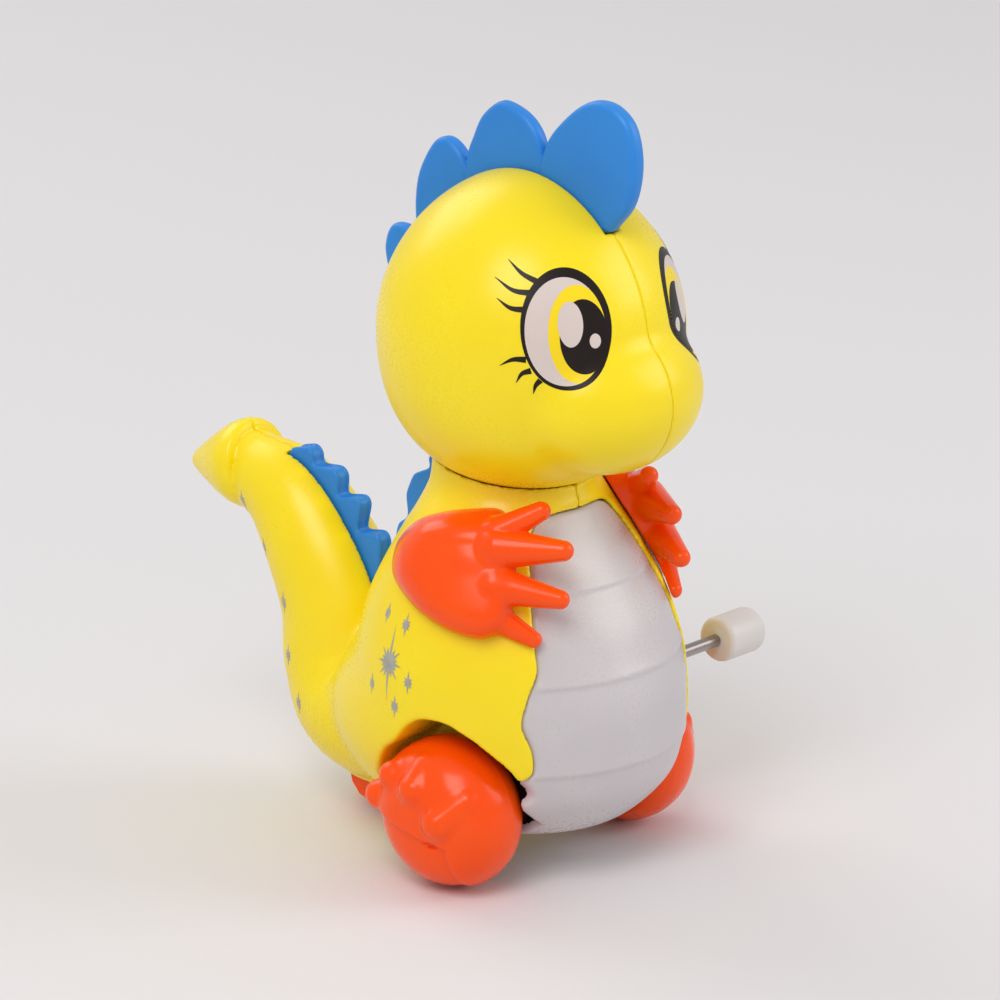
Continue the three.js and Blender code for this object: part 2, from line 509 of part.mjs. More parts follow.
// ------------------------------------------ origin at the bottom of the box
const bounds = new THREE.Box3().setFromObject(toy);
const middle = bounds.getCenter(new THREE.Vector3());
for (const mesh of toy.children) {
  mesh.geometry.translate(-middle.x, -middle.y, -bounds.min.z);
}

export default toy;
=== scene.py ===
"""Looks of a small wind-up toy dinosaur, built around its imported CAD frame.

Sizes are millimetres in the toy's own coordinates: X towards the toy's left,
-Y the way it faces, Z up, with the drive axle at Y = 0 and Z = 12. The soft
moulded shapes are written as distance forms and skinned with quads; the
turned and plain pieces are modelled with operators.
"""

import itertools
import json
import logging
import math
from dataclasses import dataclass, field
from enum import Enum
from typing import Callable

import bpy
import numpy as np
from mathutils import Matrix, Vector

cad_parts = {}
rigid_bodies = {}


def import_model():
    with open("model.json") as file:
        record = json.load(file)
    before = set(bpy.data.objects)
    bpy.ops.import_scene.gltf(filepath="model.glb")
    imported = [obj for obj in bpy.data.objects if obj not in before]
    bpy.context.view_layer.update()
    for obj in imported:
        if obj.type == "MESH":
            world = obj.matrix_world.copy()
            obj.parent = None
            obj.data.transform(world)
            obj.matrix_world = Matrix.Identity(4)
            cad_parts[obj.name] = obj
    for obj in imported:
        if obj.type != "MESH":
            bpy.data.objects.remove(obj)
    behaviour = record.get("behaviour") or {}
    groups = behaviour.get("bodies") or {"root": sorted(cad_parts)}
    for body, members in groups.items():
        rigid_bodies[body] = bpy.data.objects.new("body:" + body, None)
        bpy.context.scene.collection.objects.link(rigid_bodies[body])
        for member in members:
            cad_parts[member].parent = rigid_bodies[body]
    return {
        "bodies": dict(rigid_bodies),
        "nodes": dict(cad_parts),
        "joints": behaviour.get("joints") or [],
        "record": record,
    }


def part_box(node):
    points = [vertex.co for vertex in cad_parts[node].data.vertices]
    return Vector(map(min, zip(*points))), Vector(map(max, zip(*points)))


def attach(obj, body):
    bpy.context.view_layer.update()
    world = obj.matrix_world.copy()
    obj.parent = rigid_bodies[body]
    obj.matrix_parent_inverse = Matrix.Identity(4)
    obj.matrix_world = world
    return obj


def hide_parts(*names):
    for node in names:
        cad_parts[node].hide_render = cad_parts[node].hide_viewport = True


log = logging.getLogger("dinosaur")

Points = np.ndarray
Form = Callable[[Points], np.ndarray]
Pair = tuple[float, float]
Triple = tuple[float, float, float]

MM = 0.001
WALL = 1.6            # moulded wall
FIT = 0.3             # assembly gap
SEAM = 0.05           # half the gap between two shell halves
AXLE_Z = 12.0
FAR = 60.0            # longer than any part of the toy from its middle plane
BLOCK = 4             # cells along one side of a search block
CHUNK = 200_000       # points handed to a form at a time
NUDGE = 0.05          # step used to read a form's slope
SHELL_ANGLE = 50      # moulded edges sharper than this many degrees stay crisp
RIM_ANGLE = 40        # the same for turned and printed pieces


class Slot(Enum):
    """Material slots of the record."""

    YELLOW = "yellow_plastic"
    BLUE = "blue_plastic"
    ORANGE = "orange_plastic"
    WHITE = "white_plastic"
    BLACK = "black_plastic"
    GEAR = "gear_plastic"
    BRASS = "brass"
    STEEL = "steel"


class Axis(Enum):
    """Coordinate axes as column numbers."""

    X = 0
    Y = 1
    Z = 2


# ------------------------------------------------------------------- forms
def ellipsoid(centre: Triple, half: Triple) -> Form:
    """Ellipsoid form, close to a true distance near its surface."""
    mid, size = np.array(centre), np.array(half)

    def form(p: Points) -> np.ndarray:
        q = (p - mid) / size
        k0 = np.sqrt((q * q).sum(1)) + 1e-9
        k1 = np.sqrt(((q / size) ** 2).sum(1)) + 1e-9
        return k0 * (k0 - 1) / k1

    return form


def egg(centre: Triple, half: Triple, above: float, below: float) -> Form:
    """Round form about Z that is fuller or slimmer than an ellipsoid above and below.

    Args:
        centre: its middle.
        half: half sizes; the first two are alike.
        above: exponent of the upper outline, 2 for an ellipse.
        below: exponent of the lower outline.

    Returns:
        The form.
    """
    mid, size = np.array(centre), np.array(half)

    def form(p: Points) -> np.ndarray:
        q = (p - mid) / size
        n = np.where(q[:, 2] > 0, above, below)
        rho = np.hypot(q[:, 0], q[:, 1]) + 1e-9
        t = np.abs(q[:, 2]) + 1e-9
        k = (rho ** n + t ** n) ** (1 / n)
        slope = np.hypot(rho ** (n - 1) / size[0], t ** (n - 1) / size[2]) * k ** (1 - n)
        return (k - 1) / np.maximum(slope, 1e-6)

    return form


def capsule(start: Triple, end: Triple, r0: float, r1: float) -> Form:
    """Rounded cone from start to end.

    Args:
        start: centre of the first ball.
        end: centre of the second ball.
        r0: first radius.
        r1: second radius.

    Returns:
        The form.
    """
    a, b = np.array(start), np.array(end)
    d = b - a
    length2 = float(d @ d)

    def form(p: Points) -> np.ndarray:
        q = p - a
        t = np.clip(q @ d / length2, 0, 1)
        off = q - t[:, None] * d
        return np.sqrt((off * off).sum(1)) - (r0 + (r1 - r0) * t)

    return form


def rod(axis: Axis, at: Pair, radius: float, low: float, high: float) -> Form:
    """Cylinder along an axis.

    Args:
        axis: the direction it runs in.
        at: its place across that axis, in the order of the other two axes.
        radius: its radius.
        low: start along the axis.
        high: end along the axis.

    Returns:
        The form.
    """
    k = axis.value
    i, j = [n for n in range(3) if n != k]

    def form(p: Points) -> np.ndarray:
        side = np.hypot(p[:, i] - at[0], p[:, j] - at[1]) - radius
        ends = np.maximum(low - p[:, k], p[:, k] - high)
        return np.maximum(side, ends)

    return form


def half_space(axis: Axis, edge: float, keep_above: bool) -> Form:
    """Everything above or below edge along an axis."""
    k, sign = axis.value, -1.0 if keep_above else 1.0
    return lambda p: sign * (p[:, k] - edge)


def brick(low: Triple, high: Triple) -> Form:
    """Box between two corners."""
    a, b = np.array(low), np.array(high)
    return lambda p: np.maximum(a - p, p - b).max(1)


def grown(form: Form, by: float) -> Form:
    """The form moved outwards by a distance."""
    return lambda p: form(p) - by


def mirrored(form: Form) -> Form:
    """The form on the other side of the middle plane."""
    flip = np.array([-1.0, 1.0, 1.0])
    return lambda p: form(p * flip)


def blend(a: np.ndarray, b: np.ndarray, soft: float) -> np.ndarray:
    """Smaller of two distances, rounded over a width of soft."""
    if soft <= 0:
        return np.minimum(a, b)
    h = np.maximum(soft - np.abs(a - b), 0) / soft
    return np.minimum(a, b) - h * h * soft / 4


def joined(*forms: Form, soft: float = 0.0) -> Form:
    """Union of forms, filleted over soft."""

    def form(p: Points) -> np.ndarray:
        d = forms[0](p)
        for f in forms[1:]:
            d = blend(d, f(p), soft)
        return d

    return form


def common(*forms: Form, soft: float = 0.0) -> Form:
    """Intersection of forms, with edges rounded over soft."""

    def form(p: Points) -> np.ndarray:
        d = -forms[0](p)
        for f in forms[1:]:
            d = blend(d, -f(p), soft)
        return -d

    return form


def carved(base: Form, *tools: Form, soft: float = 0.4) -> Form:
    """base with the tools cut out of it, edges rounded over soft."""

    def form(p: Points) -> np.ndarray:
        d = -base(p)
        for f in tools:
            d = blend(d, f(p), soft)
        return -d

    return form


# ---------------------------------------------------------------- outlines
def curve_through(points: list[Pair], steps: int, closed: bool = False) -> np.ndarray:
    """Smooth curve through points.

    Args:
        points: points of any dimension.
        steps: samples between two neighbouring points.
        closed: whether the last point joins the first.

    Returns:
        The samples, one row each.
    """
    p = np.array(points, float)
    if closed:
        p = np.vstack([p[-1], p, p[0], p[1]])
    else:
        p = np.vstack([2 * p[0] - p[1], p, 2 * p[-1] - p[-2]])
    rows = []
    for i in range(1, len(p) - 2):
        a, b, c, d = p[i - 1], p[i], p[i + 1], p[i + 2]
        for t in np.arange(steps) / steps:
            rows.append(0.5 * (2 * b + (c - a) * t + (2 * a - 5 * b + 4 * c - d) * t ** 2
                               + (3 * b - a - 3 * c + d) * t ** 3))
    if not closed:
        rows.append(p[-2])
    return np.array(rows)


@dataclass
class Grid:
    """Values on a flat grid, read between its nodes."""

    low: np.ndarray
    cell: float
    values: np.ndarray

    def read(self, u: np.ndarray, v: np.ndarray) -> np.ndarray:
        """Value at (u, v), blended from the four nodes round it.

        Args:
            u: first coordinates.
            v: second coordinates.

        Returns:
            One value for each pair.
        """
        s = (u - self.low[0]) / self.cell
        t = (v - self.low[1]) / self.cell
        s = np.clip(s, 0, self.values.shape[0] - 1.001)
        t = np.clip(t, 0, self.values.shape[1] - 1.001)
        i, j = s.astype(int), t.astype(int)
        a, b = s - i, t - j
        w = self.values
        return ((1 - a) * (1 - b) * w[i, j] + a * (1 - b) * w[i + 1, j]
                + (1 - a) * b * w[i, j + 1] + a * b * w[i + 1, j + 1])


def grid_nodes(points: np.ndarray, margin: float,
               cell: float) -> tuple[np.ndarray, list[np.ndarray]]:
    """Low corner and the two node coordinate arrays of a grid round some points."""
    low = points.min(0) - margin
    high = points.max(0) + margin
    axes = [np.arange(low[k], high[k] + cell, cell) for k in range(2)]
    return low, axes


class Stencil:
    """Signed distance to a closed outline in a plane, negative inside."""

    def __init__(self, outline: np.ndarray, cell: float = 0.2, margin: float = 5.0) -> None:
        """Measures the outline on a grid.

        Args:
            outline: its corners in order.
            cell: grid step.
            margin: how far past the outline the grid reaches.
        """
        low, (us, vs) = grid_nodes(outline, margin, cell)
        gu, gv = np.meshgrid(us, vs, indexing="ij")
        best = np.full(gu.shape, 1e9)
        inside = np.zeros(gu.shape, bool)
        for a, b in zip(outline, np.roll(outline, -1, axis=0)):
            d = b - a
            t = ((gu - a[0]) * d[0] + (gv - a[1]) * d[1]) / max(float(d @ d), 1e-12)
            t = np.clip(t, 0, 1)
            best = np.minimum(best, np.hypot(gu - a[0] - t * d[0], gv - a[1] - t * d[1]))
            if a[1] != b[1]:
                spans = (gv < a[1]) != (gv < b[1])
                inside ^= spans & (gu < a[0] + (gv - a[1]) * d[0] / d[1])
        self.grid = Grid(low, cell, np.where(inside, -best, best))

    def __call__(self, u: np.ndarray, v: np.ndarray) -> np.ndarray:
        """Distance at (u, v)."""
        return self.grid.read(u, v)


def plate(stencil: Stencil, half: float, rounding: float, middle: float = 0.0) -> Form:
    """Plate across X with the stencil's outline in (Y, Z) and rounded edges.

    Args:
        stencil: outline.
        half: half its thickness.
        rounding: edge radius.
        middle: X of its middle plane.

    Returns:
        The form.
    """

    def form(p: Points) -> np.ndarray:
        a = stencil(p[:, 1], p[:, 2]) + rounding
        b = np.abs(p[:, 0] - middle) - (half - rounding)
        out = np.hypot(np.maximum(a, 0), np.maximum(b, 0))
        return np.minimum(np.maximum(a, b), 0) + out - rounding

    return form


def prism(stencil: Stencil, origin: Triple, across: np.ndarray, up: np.ndarray) -> Form:
    """Endless prism whose outline lies in the plane of two directions through origin."""
    base = np.array(origin)
    return lambda p: stencil((p - base) @ across, (p - base) @ up)


def front_prism(stencil: Stencil, back: float) -> Form:
    """Prism with an outline in (X, Z), for Y less than back."""
    return lambda p: np.maximum(stencil(np.abs(p[:, 0]), p[:, 2]), p[:, 1] - back)


def turned(origin: Triple, direction: Triple, profile: list[Pair], cell: float = 0.1) -> Form:
    """Turned form about a line.

    Args:
        origin: where the profile's first coordinate is 0.
        direction: along the line.
        profile: (distance along the line, radius) from one end to the other.
        cell: grid step of the profile.

    Returns:
        The form.
    """
    ring = np.array(profile + [(s, -r) for s, r in reversed(profile)])
    stencil = Stencil(ring, cell=cell, margin=4.0)
    base = np.array(origin)
    line = np.array(direction) / np.linalg.norm(direction)

    def form(p: Points) -> np.ndarray:
        q = p - base
        s = q @ line
        r = np.sqrt(np.maximum((q * q).sum(1) - s * s, 0))
        return stencil(s, r)

    return form


class Tube:
    """Round tube along a line in the middle plane, given as (Y, Z, radius)."""

    def __init__(self, line: list[Triple], cell: float = 0.4, margin: float = 6.0) -> None:
        """Measures the line on a grid.

        Args:
            line: points of the centre line with their radii.
            cell: grid step.
            margin: how far past the tube the grid reaches.
        """
        path = curve_through(line, 10)
        reach = margin + float(path[:, 2].max())
        low, (ys, zs) = grid_nodes(path[:, :2], reach, cell)
        gy, gz = np.meshgrid(ys, zs, indexing="ij")
        best = np.full(gy.shape, 1e9)
        away = np.zeros(gy.shape)
        size = np.zeros(gy.shape)
        for a, b in zip(path[:-1], path[1:]):
            d = b - a
            t = ((gy - a[0]) * d[0] + (gz - a[1]) * d[1]) / (d[0] ** 2 + d[1] ** 2)
            t = np.clip(t, 0, 1)
            dist = np.hypot(gy - a[0] - t * d[0], gz - a[1] - t * d[1])
            rad = a[2] + t * d[2]
            nearer = dist < best
            best = np.where(nearer, dist, best)
            away = np.where(nearer, dist, away)
            size = np.where(nearer, rad, size)
        self.away = Grid(low, cell, away)
        self.size = Grid(low, cell, size)

    def __call__(self, p: Points) -> np.ndarray:
        """Signed distance at the points."""
        d = self.away.read(p[:, 1], p[:, 2])
        return np.hypot(p[:, 0], d) - self.size.read(p[:, 1], p[:, 2])


class Loft:
    """Upright loft of ellipses, given as (Z, centre Y, half width X, half depth Y)."""

    def __init__(self, sections: list[tuple[float, float, float, float]]) -> None:
        """Samples the sections finely along Z."""
        path = curve_through(sections, 16)
        order = np.argsort(path[:, 0])
        self.table = path[order]
        self.low, self.high = self.table[0, 0], self.table[-1, 0]
        self.step = 0.1
        zs = np.arange(self.low, self.high + self.step, self.step)
        cols = [np.interp(zs, self.table[:, 0], self.table[:, k]) for k in (1, 2, 3)]
        width = 9
        kernel = np.ones(width) / width
        cols = [np.convolve(np.pad(c, width // 2, mode="edge"), kernel, "valid") for c in cols]
        self.zs, self.cols = zs, cols
        self.slopes = [np.gradient(c, self.step) for c in cols]

    def __call__(self, p: Points) -> np.ndarray:
        """Signed distance at the points, corrected for the walls' slope."""
        z = np.clip(p[:, 2], self.low, self.high)
        yc, a, b = (np.interp(z, self.zs, c) for c in self.cols)
        dyc, da, db = (np.interp(z, self.zs, c) for c in self.slopes)
        x, y = p[:, 0], p[:, 1] - yc
        k = np.sqrt((x / a) ** 2 + (y / b) ** 2) + 1e-6
        gx, gy = x / (a * a * k), y / (b * b * k)
        gz = -(x * x * da / a ** 3 + y * y * db / b ** 3 + y * dyc / (b * b)) / k
        slope = np.sqrt(gx * gx + gy * gy + gz * gz) + 1e-4
        d = (k - 1) / slope
        return np.maximum(d, np.maximum(self.low - p[:, 2], p[:, 2] - self.high))


# ----------------------------------------------------------------- skinning
def sampled(form: Form, p: Points) -> np.ndarray:
    """The form at many points, a chunk at a time."""
    return np.concatenate([form(p[i:i + CHUNK]) for i in range(0, len(p), CHUNK)])


def fill_field(form: Form, low: np.ndarray, high: np.ndarray, cell: float) -> np.ndarray:
    """Form values on a grid, exact near the surface and only signed away from it.

    Args:
        form: the form.
        low: low corner.
        high: high corner.
        cell: grid step.

    Returns:
        The grid of values.
    """
    count = np.ceil((high - low) / cell / BLOCK).astype(int)
    centres = [low[k] + (np.arange(count[k]) * BLOCK + (BLOCK - 1) / 2) * cell for k in range(3)]
    mesh = np.stack(np.meshgrid(*centres, indexing="ij"), -1).reshape(-1, 3)
    coarse = sampled(form, mesh).reshape(count)
    near = np.abs(coarse) < 1.45 * BLOCK * cell
    value = np.where(coarse < 0, -1.0, 1.0).astype(np.float32)
    for k in range(3):
        near = np.repeat(near, BLOCK, axis=k)
        value = np.repeat(value, BLOCK, axis=k)
    spots = np.argwhere(near)
    value[near] = sampled(form, low + spots * cell)
    return value


def net(value: np.ndarray, low: np.ndarray, cell: float) -> tuple[np.ndarray, np.ndarray]:
    """Quad net over the zero surface of a grid.

    Args:
        value: grid of form values.
        low: its low corner.
        cell: its step.

    Returns:
        Vertices and quads, faces outwards.
    """
    inside = value < 0
    nx, ny, nz = (n - 1 for n in inside.shape)
    total = np.zeros((nx, ny, nz), np.uint8)
    for i, j, k in itertools.product((0, 1), repeat=3):
        total += inside[i:i + nx, j:j + ny, k:k + nz]
    mixed = (total > 0) & (total < 8)
    cells = np.argwhere(mixed)
    number = np.full(mixed.shape, -1, np.int64)
    number[mixed] = np.arange(len(cells))
    place = np.zeros((len(cells), 3))
    hits = np.zeros(len(cells))
    for a in itertools.product((0, 1), repeat=3):
        for k in range(3):
            if a[k]:
                continue
            b = [n + (m == k) for m, n in enumerate(a)]
            fa = value[tuple((cells + a).T)]
            fb = value[tuple((cells + b).T)]
            cross = (fa < 0) != (fb < 0)
            t = np.where(cross, fa / np.where(cross, fa - fb, 1), 0)
            spot = np.array(a, float) + t[:, None] * (np.array(b) - np.array(a))
            place += np.where(cross[:, None], spot, 0)
            hits += cross
    verts = low + (cells + place / hits[:, None]) * cell
    quads = []
    for k in range(3):
        u, v = (k + 1) % 3, (k + 2) % 3
        first = [slice(None)] * 3
        second = [slice(None)] * 3
        first[k], second[k] = slice(0, -1), slice(1, None)
        a, b = inside[tuple(first)], inside[tuple(second)]
        spots = np.argwhere(a != b)
        leaving = a[tuple(spots.T)]
        ring = []
        for du, dv in ((-1, -1), (0, -1), (0, 0), (-1, 0)):
            c = spots.copy()
            c[:, u] += du
            c[:, v] += dv
            ring.append(number[tuple(c.T)])
        ring = np.stack(ring, 1)
        ring[~leaving] = ring[~leaving][:, ::-1]
        quads.append(ring)
    return verts, np.concatenate(quads)


def settle(form: Form, verts: np.ndarray, quads: np.ndarray, cell: float,
           rounds: int) -> np.ndarray:
    """Evens a net out and brings it onto the form's surface.

    Args:
        form: the form.
        verts: vertices.
        quads: quads.
        cell: grid step.
        rounds: passes.

    Returns:
        The moved vertices.
    """
    eps = 0.2 * cell
    ends = np.concatenate([quads[:, [0, 1]], quads[:, [1, 2]], quads[:, [2, 3]], quads[:, [3, 0]]])
    degree = np.bincount(ends[:, 0], minlength=len(verts)).astype(float)
    for turn in range(rounds):
        base = sampled(form, verts)
        slope = np.stack([(sampled(form, verts + eps * e) - base) / eps for e in np.eye(3)], 1)
        size2 = np.maximum((slope * slope).sum(1), 0.3)
        move = -(base / size2)[:, None] * slope
        length = np.sqrt((move * move).sum(1))
        move *= np.minimum(1, 0.6 * cell / np.maximum(length, 1e-9))[:, None]
        verts = verts + move
        if turn < rounds - 1:
            mean = np.stack([np.bincount(ends[:, 0], verts[ends[:, 1], k], len(verts))
                             for k in range(3)], 1) / degree[:, None]
            normal = slope / np.sqrt(size2)[:, None]
            pull = mean - verts
            pull -= (pull * normal).sum(1)[:, None] * normal
            verts = verts + 0.45 * pull
    return verts


# ------------------------------------------------------------------ finishes
def linear(colour: Triple) -> tuple[float, float, float, float]:
    """Linear RGBA of a colour given as sRGB 0 to 255."""
    rows = []
    for c in colour:
        s = c / 255
        rows.append(s / 12.92 if s <= 0.04045 else ((s + 0.055) / 1.055) ** 2.4)
    return (*rows, 1.0)


@dataclass(frozen=True)
class Finish:
    """A moulded, printed or metal surface."""

    name: str
    colour: Triple
    deep: Triple
    rough: float
    rough_spread: float = 0.06
    metal: float = 0.0
    coat: float = 0.0
    scatter: float = 0.0
    scatter_mm: float = 1.5
    specular: float = 0.5
    patch_mm: float = 18.0
    grain_mm: float = 0.5
    grain_depth_mm: float = 0.0003
    wave_depth_mm: float = 0.007
    brushed: bool = False

    def build(self) -> bpy.types.Material:
        """Makes the material, or returns it if it is already made.

        Returns:
            The material.
        """
        found = bpy.data.materials.get(self.name)
        if found:
            return found
        m = bpy.data.materials.new(self.name)
        m.use_nodes = True
        nodes, links = m.node_tree.nodes, m.node_tree.links
        nodes.clear()
        out = nodes.new("ShaderNodeOutputMaterial")
        shader = nodes.new("ShaderNodeBsdfPrincipled")
        links.new(shader.outputs["BSDF"], out.inputs["Surface"])
        shader.inputs["Metallic"].default_value = self.metal
        shader.inputs["Coat Weight"].default_value = self.coat
        shader.inputs["Coat Roughness"].default_value = 0.12
        shader.inputs["Specular IOR Level"].default_value = self.specular
        shader.inputs["Subsurface Weight"].default_value = self.scatter
        shader.inputs["Subsurface Radius"].default_value = (1.0, 0.6, 0.35)
        shader.inputs["Subsurface Scale"].default_value = self.scatter_mm * MM
        place = nodes.new("ShaderNodeTexCoord")
        scale = nodes.new("ShaderNodeMapping")
        links.new(place.outputs["Object"], scale.inputs["Vector"])
        if self.brushed:
            scale.inputs["Scale"].default_value = (0.08, 1.0, 1.0)
        patches = self._noise(nodes, links, scale, 1 / (self.patch_mm * MM), 3.0)
        fine = self._noise(nodes, links, scale, 1 / (self.grain_mm * MM), 2.0)
        self._tint(nodes, links, patches, shader)
        self._roughen(nodes, links, patches, fine, shader)
        self._bump(nodes, links, patches, fine, shader)
        return m

    def _noise(self, nodes: bpy.types.Nodes, links: bpy.types.NodeLinks,
               scale: bpy.types.Node, frequency: float, detail: float) -> bpy.types.Node:
        """Adds a noise texture of a frequency per metre."""
        n = nodes.new("ShaderNodeTexNoise")
        n.inputs["Scale"].default_value = frequency
        n.inputs["Detail"].default_value = detail
        links.new(scale.outputs["Vector"], n.inputs["Vector"])
        return n

    def _tint(self, nodes: bpy.types.Nodes, links: bpy.types.NodeLinks,
              patches: bpy.types.Node, shader: bpy.types.Node) -> None:
        """Drifts the colour between its two tones."""
        mix = nodes.new("ShaderNodeMix")
        mix.data_type = "RGBA"
        mix.inputs[6].default_value = linear(self.colour)
        mix.inputs[7].default_value = linear(self.deep)
        band = nodes.new("ShaderNodeMapRange")
        band.inputs["From Min"].default_value = 0.35
        band.inputs["From Max"].default_value = 0.68
        links.new(patches.outputs["Fac"], band.inputs["Value"])
        links.new(band.outputs["Result"], mix.inputs["Factor"])
        links.new(mix.outputs[2], shader.inputs["Base Color"])

    def _roughen(self, nodes: bpy.types.Nodes, links: bpy.types.NodeLinks,
                 patches: bpy.types.Node, fine: bpy.types.Node,
                 shader: bpy.types.Node) -> None:
        """Varies the roughness with the patches and the grain."""
        add = nodes.new("ShaderNodeMath")
        add.operation = "ADD"
        links.new(patches.outputs["Fac"], add.inputs[0])
        links.new(fine.outputs["Fac"], add.inputs[1])
        band = nodes.new("ShaderNodeMapRange")
        band.inputs["From Min"].default_value = 0.6
        band.inputs["From Max"].default_value = 1.4
        band.inputs["To Min"].default_value = max(self.rough - self.rough_spread, 0.02)
        band.inputs["To Max"].default_value = self.rough + self.rough_spread
        links.new(add.outputs["Value"], band.inputs["Value"])
        links.new(band.outputs["Result"], shader.inputs["Roughness"])

    def _bump(self, nodes: bpy.types.Nodes, links: bpy.types.NodeLinks,
              patches: bpy.types.Node, fine: bpy.types.Node, shader: bpy.types.Node) -> None:
        """Adds mould waviness and fine grain."""
        wave = nodes.new("ShaderNodeBump")
        wave.inputs["Distance"].default_value = self.wave_depth_mm * MM
        links.new(patches.outputs["Fac"], wave.inputs["Height"])
        grain = nodes.new("ShaderNodeBump")
        grain.inputs["Distance"].default_value = self.grain_depth_mm * MM
        links.new(fine.outputs["Fac"], grain.inputs["Height"])
        links.new(wave.outputs["Normal"], grain.inputs["Normal"])
        links.new(grain.outputs["Normal"], shader.inputs["Normal"])


YELLOW = Finish("yellow_gloss", (251, 226, 22), (248, 220, 16), 0.30, scatter=0.08,
                scatter_mm=0.8, specular=0.42)
BLUE = Finish("blue_satin", (44, 136, 220), (40, 128, 213), 0.40, scatter=0.06, specular=0.35)
ORANGE = Finish("orange_gloss", (255, 86, 6), (253, 78, 4), 0.2, scatter=0.08, scatter_mm=0.8,
                specular=0.3)
PEARL = Finish("belly_pearl", (203, 198, 200), (196, 191, 195), 0.30, scatter=0.2,
               scatter_mm=2.0, specular=0.45)
KNOB = Finish("knob_white", (220, 216, 213), (210, 206, 203), 0.36, scatter=0.1)
BLACK = Finish("motor_black", (22, 20, 20), (30, 27, 26), 0.5, grain_depth_mm=0.01)
NATURAL = Finish("gear_acetal", (232, 227, 212), (222, 216, 198), 0.42, scatter=0.2)
STEEL = Finish("drawn_steel", (178, 170, 166), (150, 143, 140), 0.3, metal=1.0, brushed=True,
               patch_mm=2.0)
BRASS = Finish("turned_brass", (205, 164, 84), (186, 146, 70), 0.32, metal=1.0, patch_mm=2.0)
INK_BLACK = Finish("print_black", (24, 15, 12), (30, 20, 17), 0.38, specular=0.25)
INK_WHITE = Finish("print_white", (218, 204, 198), (212, 197, 191), 0.34, specular=0.35)
INK_YELLOW = Finish("print_yellow", (250, 220, 24), (246, 214, 18), 0.32, specular=0.35)
INK_SILVER = Finish("print_silver", (160, 160, 150), (176, 175, 164), 0.4, metal=0.2,
                    patch_mm=1.2)


# -------------------------------------------------------------------- pieces
@dataclass
class Frame:
    """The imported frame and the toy's datum in it."""

    data: dict
    shift: Vector = field(default_factory=Vector)

    def __post_init__(self) -> None:
        """Finds the datum from the drive axle."""
        low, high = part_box("drive_axle")
        mid = (low + high) / 2
        self.shift = Vector((mid.x, mid.y, mid.z - AXLE_Z * MM))

    def to_row(self, p: np.ndarray) -> np.ndarray:
        """Row frame metres of toy millimetres."""
        return p * MM + np.array(self.shift)


def deselect() -> None:
    """Leaves edit mode and selects nothing."""
    if bpy.context.object and bpy.context.object.mode != "OBJECT":
        bpy.ops.object.mode_set(mode="OBJECT")
    bpy.ops.object.select_all(action="DESELECT")


def make_active(piece: bpy.types.Object) -> None:
    """Selects one object and makes it active."""
    deselect()
    piece.select_set(True)
    bpy.context.view_layer.objects.active = piece


def mesh_object(name: str, verts: np.ndarray, faces: list) -> bpy.types.Object:
    """New mesh object at the origin.

    Args:
        name: its name.
        verts: vertices in row metres.
        faces: faces as vertex numbers.

    Returns:
        The linked object.
    """
    data = bpy.data.meshes.new(name)
    data.from_pydata(verts.tolist(), [], faces)
    data.update()
    piece = bpy.data.objects.new(name, data)
    bpy.context.scene.collection.objects.link(piece)
    return piece


def smooth(piece: bpy.types.Object, degrees: float) -> None:
    """Smooth shading that keeps edges sharper than an angle."""
    make_active(piece)
    bpy.ops.object.shade_smooth_by_angle(angle=math.radians(degrees))


def place_mesh(piece: bpy.types.Object) -> None:
    """Moves an object's place, turn and size into its mesh."""
    make_active(piece)
    bpy.ops.object.transform_apply(location=True, rotation=True, scale=True)


@dataclass
class Builder:
    """What every sub-assembly needs to publish its pieces."""

    frame: Frame

    def skinned(self, name: str, form: Form, low: Triple, high: Triple, cell: float,
                rounds: int = 4) -> bpy.types.Object:
        """Skins a form as a piece.

        Args:
            name: the piece's name.
            form: its form in toy millimetres.
            low: low corner of the space it fills.
            high: high corner of that space.
            cell: grid step.
            rounds: settling passes.

        Returns:
            The object.
        """
        a, b = np.array(low, float), np.array(high, float)
        verts, quads = net(fill_field(form, a, b, cell), a, cell)
        verts = settle(form, verts, quads, cell, rounds)
        piece = mesh_object(name, self.frame.to_row(verts), quads.tolist())
        smooth(piece, SHELL_ANGLE)
        return piece

    def finish(self, piece: bpy.types.Object, look: Finish, body: str, slot: Slot | None,
               *nodes: str) -> bpy.types.Object:
        """Gives a piece its look and body, and hides the nodes it stands for.

        Args:
            piece: the object.
            look: its finish.
            body: CAD body it rides on.
            slot: material slot, or None; not used.
            nodes: CAD nodes it replaces.

        Returns:
            The same object.
        """
        piece.data.materials.clear()
        piece.data.materials.append(look.build())
        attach(piece, body)
        if nodes:
            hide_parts(*nodes)
        log.info("%s: %d faces on %s", piece.name, len(piece.data.polygons), body)
        return piece

    def turned_solid(self, name: str, radius: float, low: float, high: float, at: Pair,
                     bevel: float, sides: int = 64) -> bpy.types.Object:
        """Cylinder along X with rounded rims.

        Args:
            name: its name.
            radius: its radius.
            low: X of one end.
            high: X of the other end.
            at: (Y, Z) of its axis.
            bevel: rim rounding.
            sides: how many sides.

        Returns:
            The object, placed.
        """
        deselect()
        mid = self.frame.to_row(np.array([(low + high) / 2, at[0], at[1]]))
        bpy.ops.mesh.primitive_cylinder_add(vertices=sides, radius=radius * MM,
                                            depth=(high - low) * MM, location=mid,
                                            rotation=(0, math.pi / 2, 0))
        piece = bpy.context.object
        piece.name = piece.data.name = name
        place_mesh(piece)
        if bevel > 0:
            bevel_rims(piece, bevel, 4)
        return piece


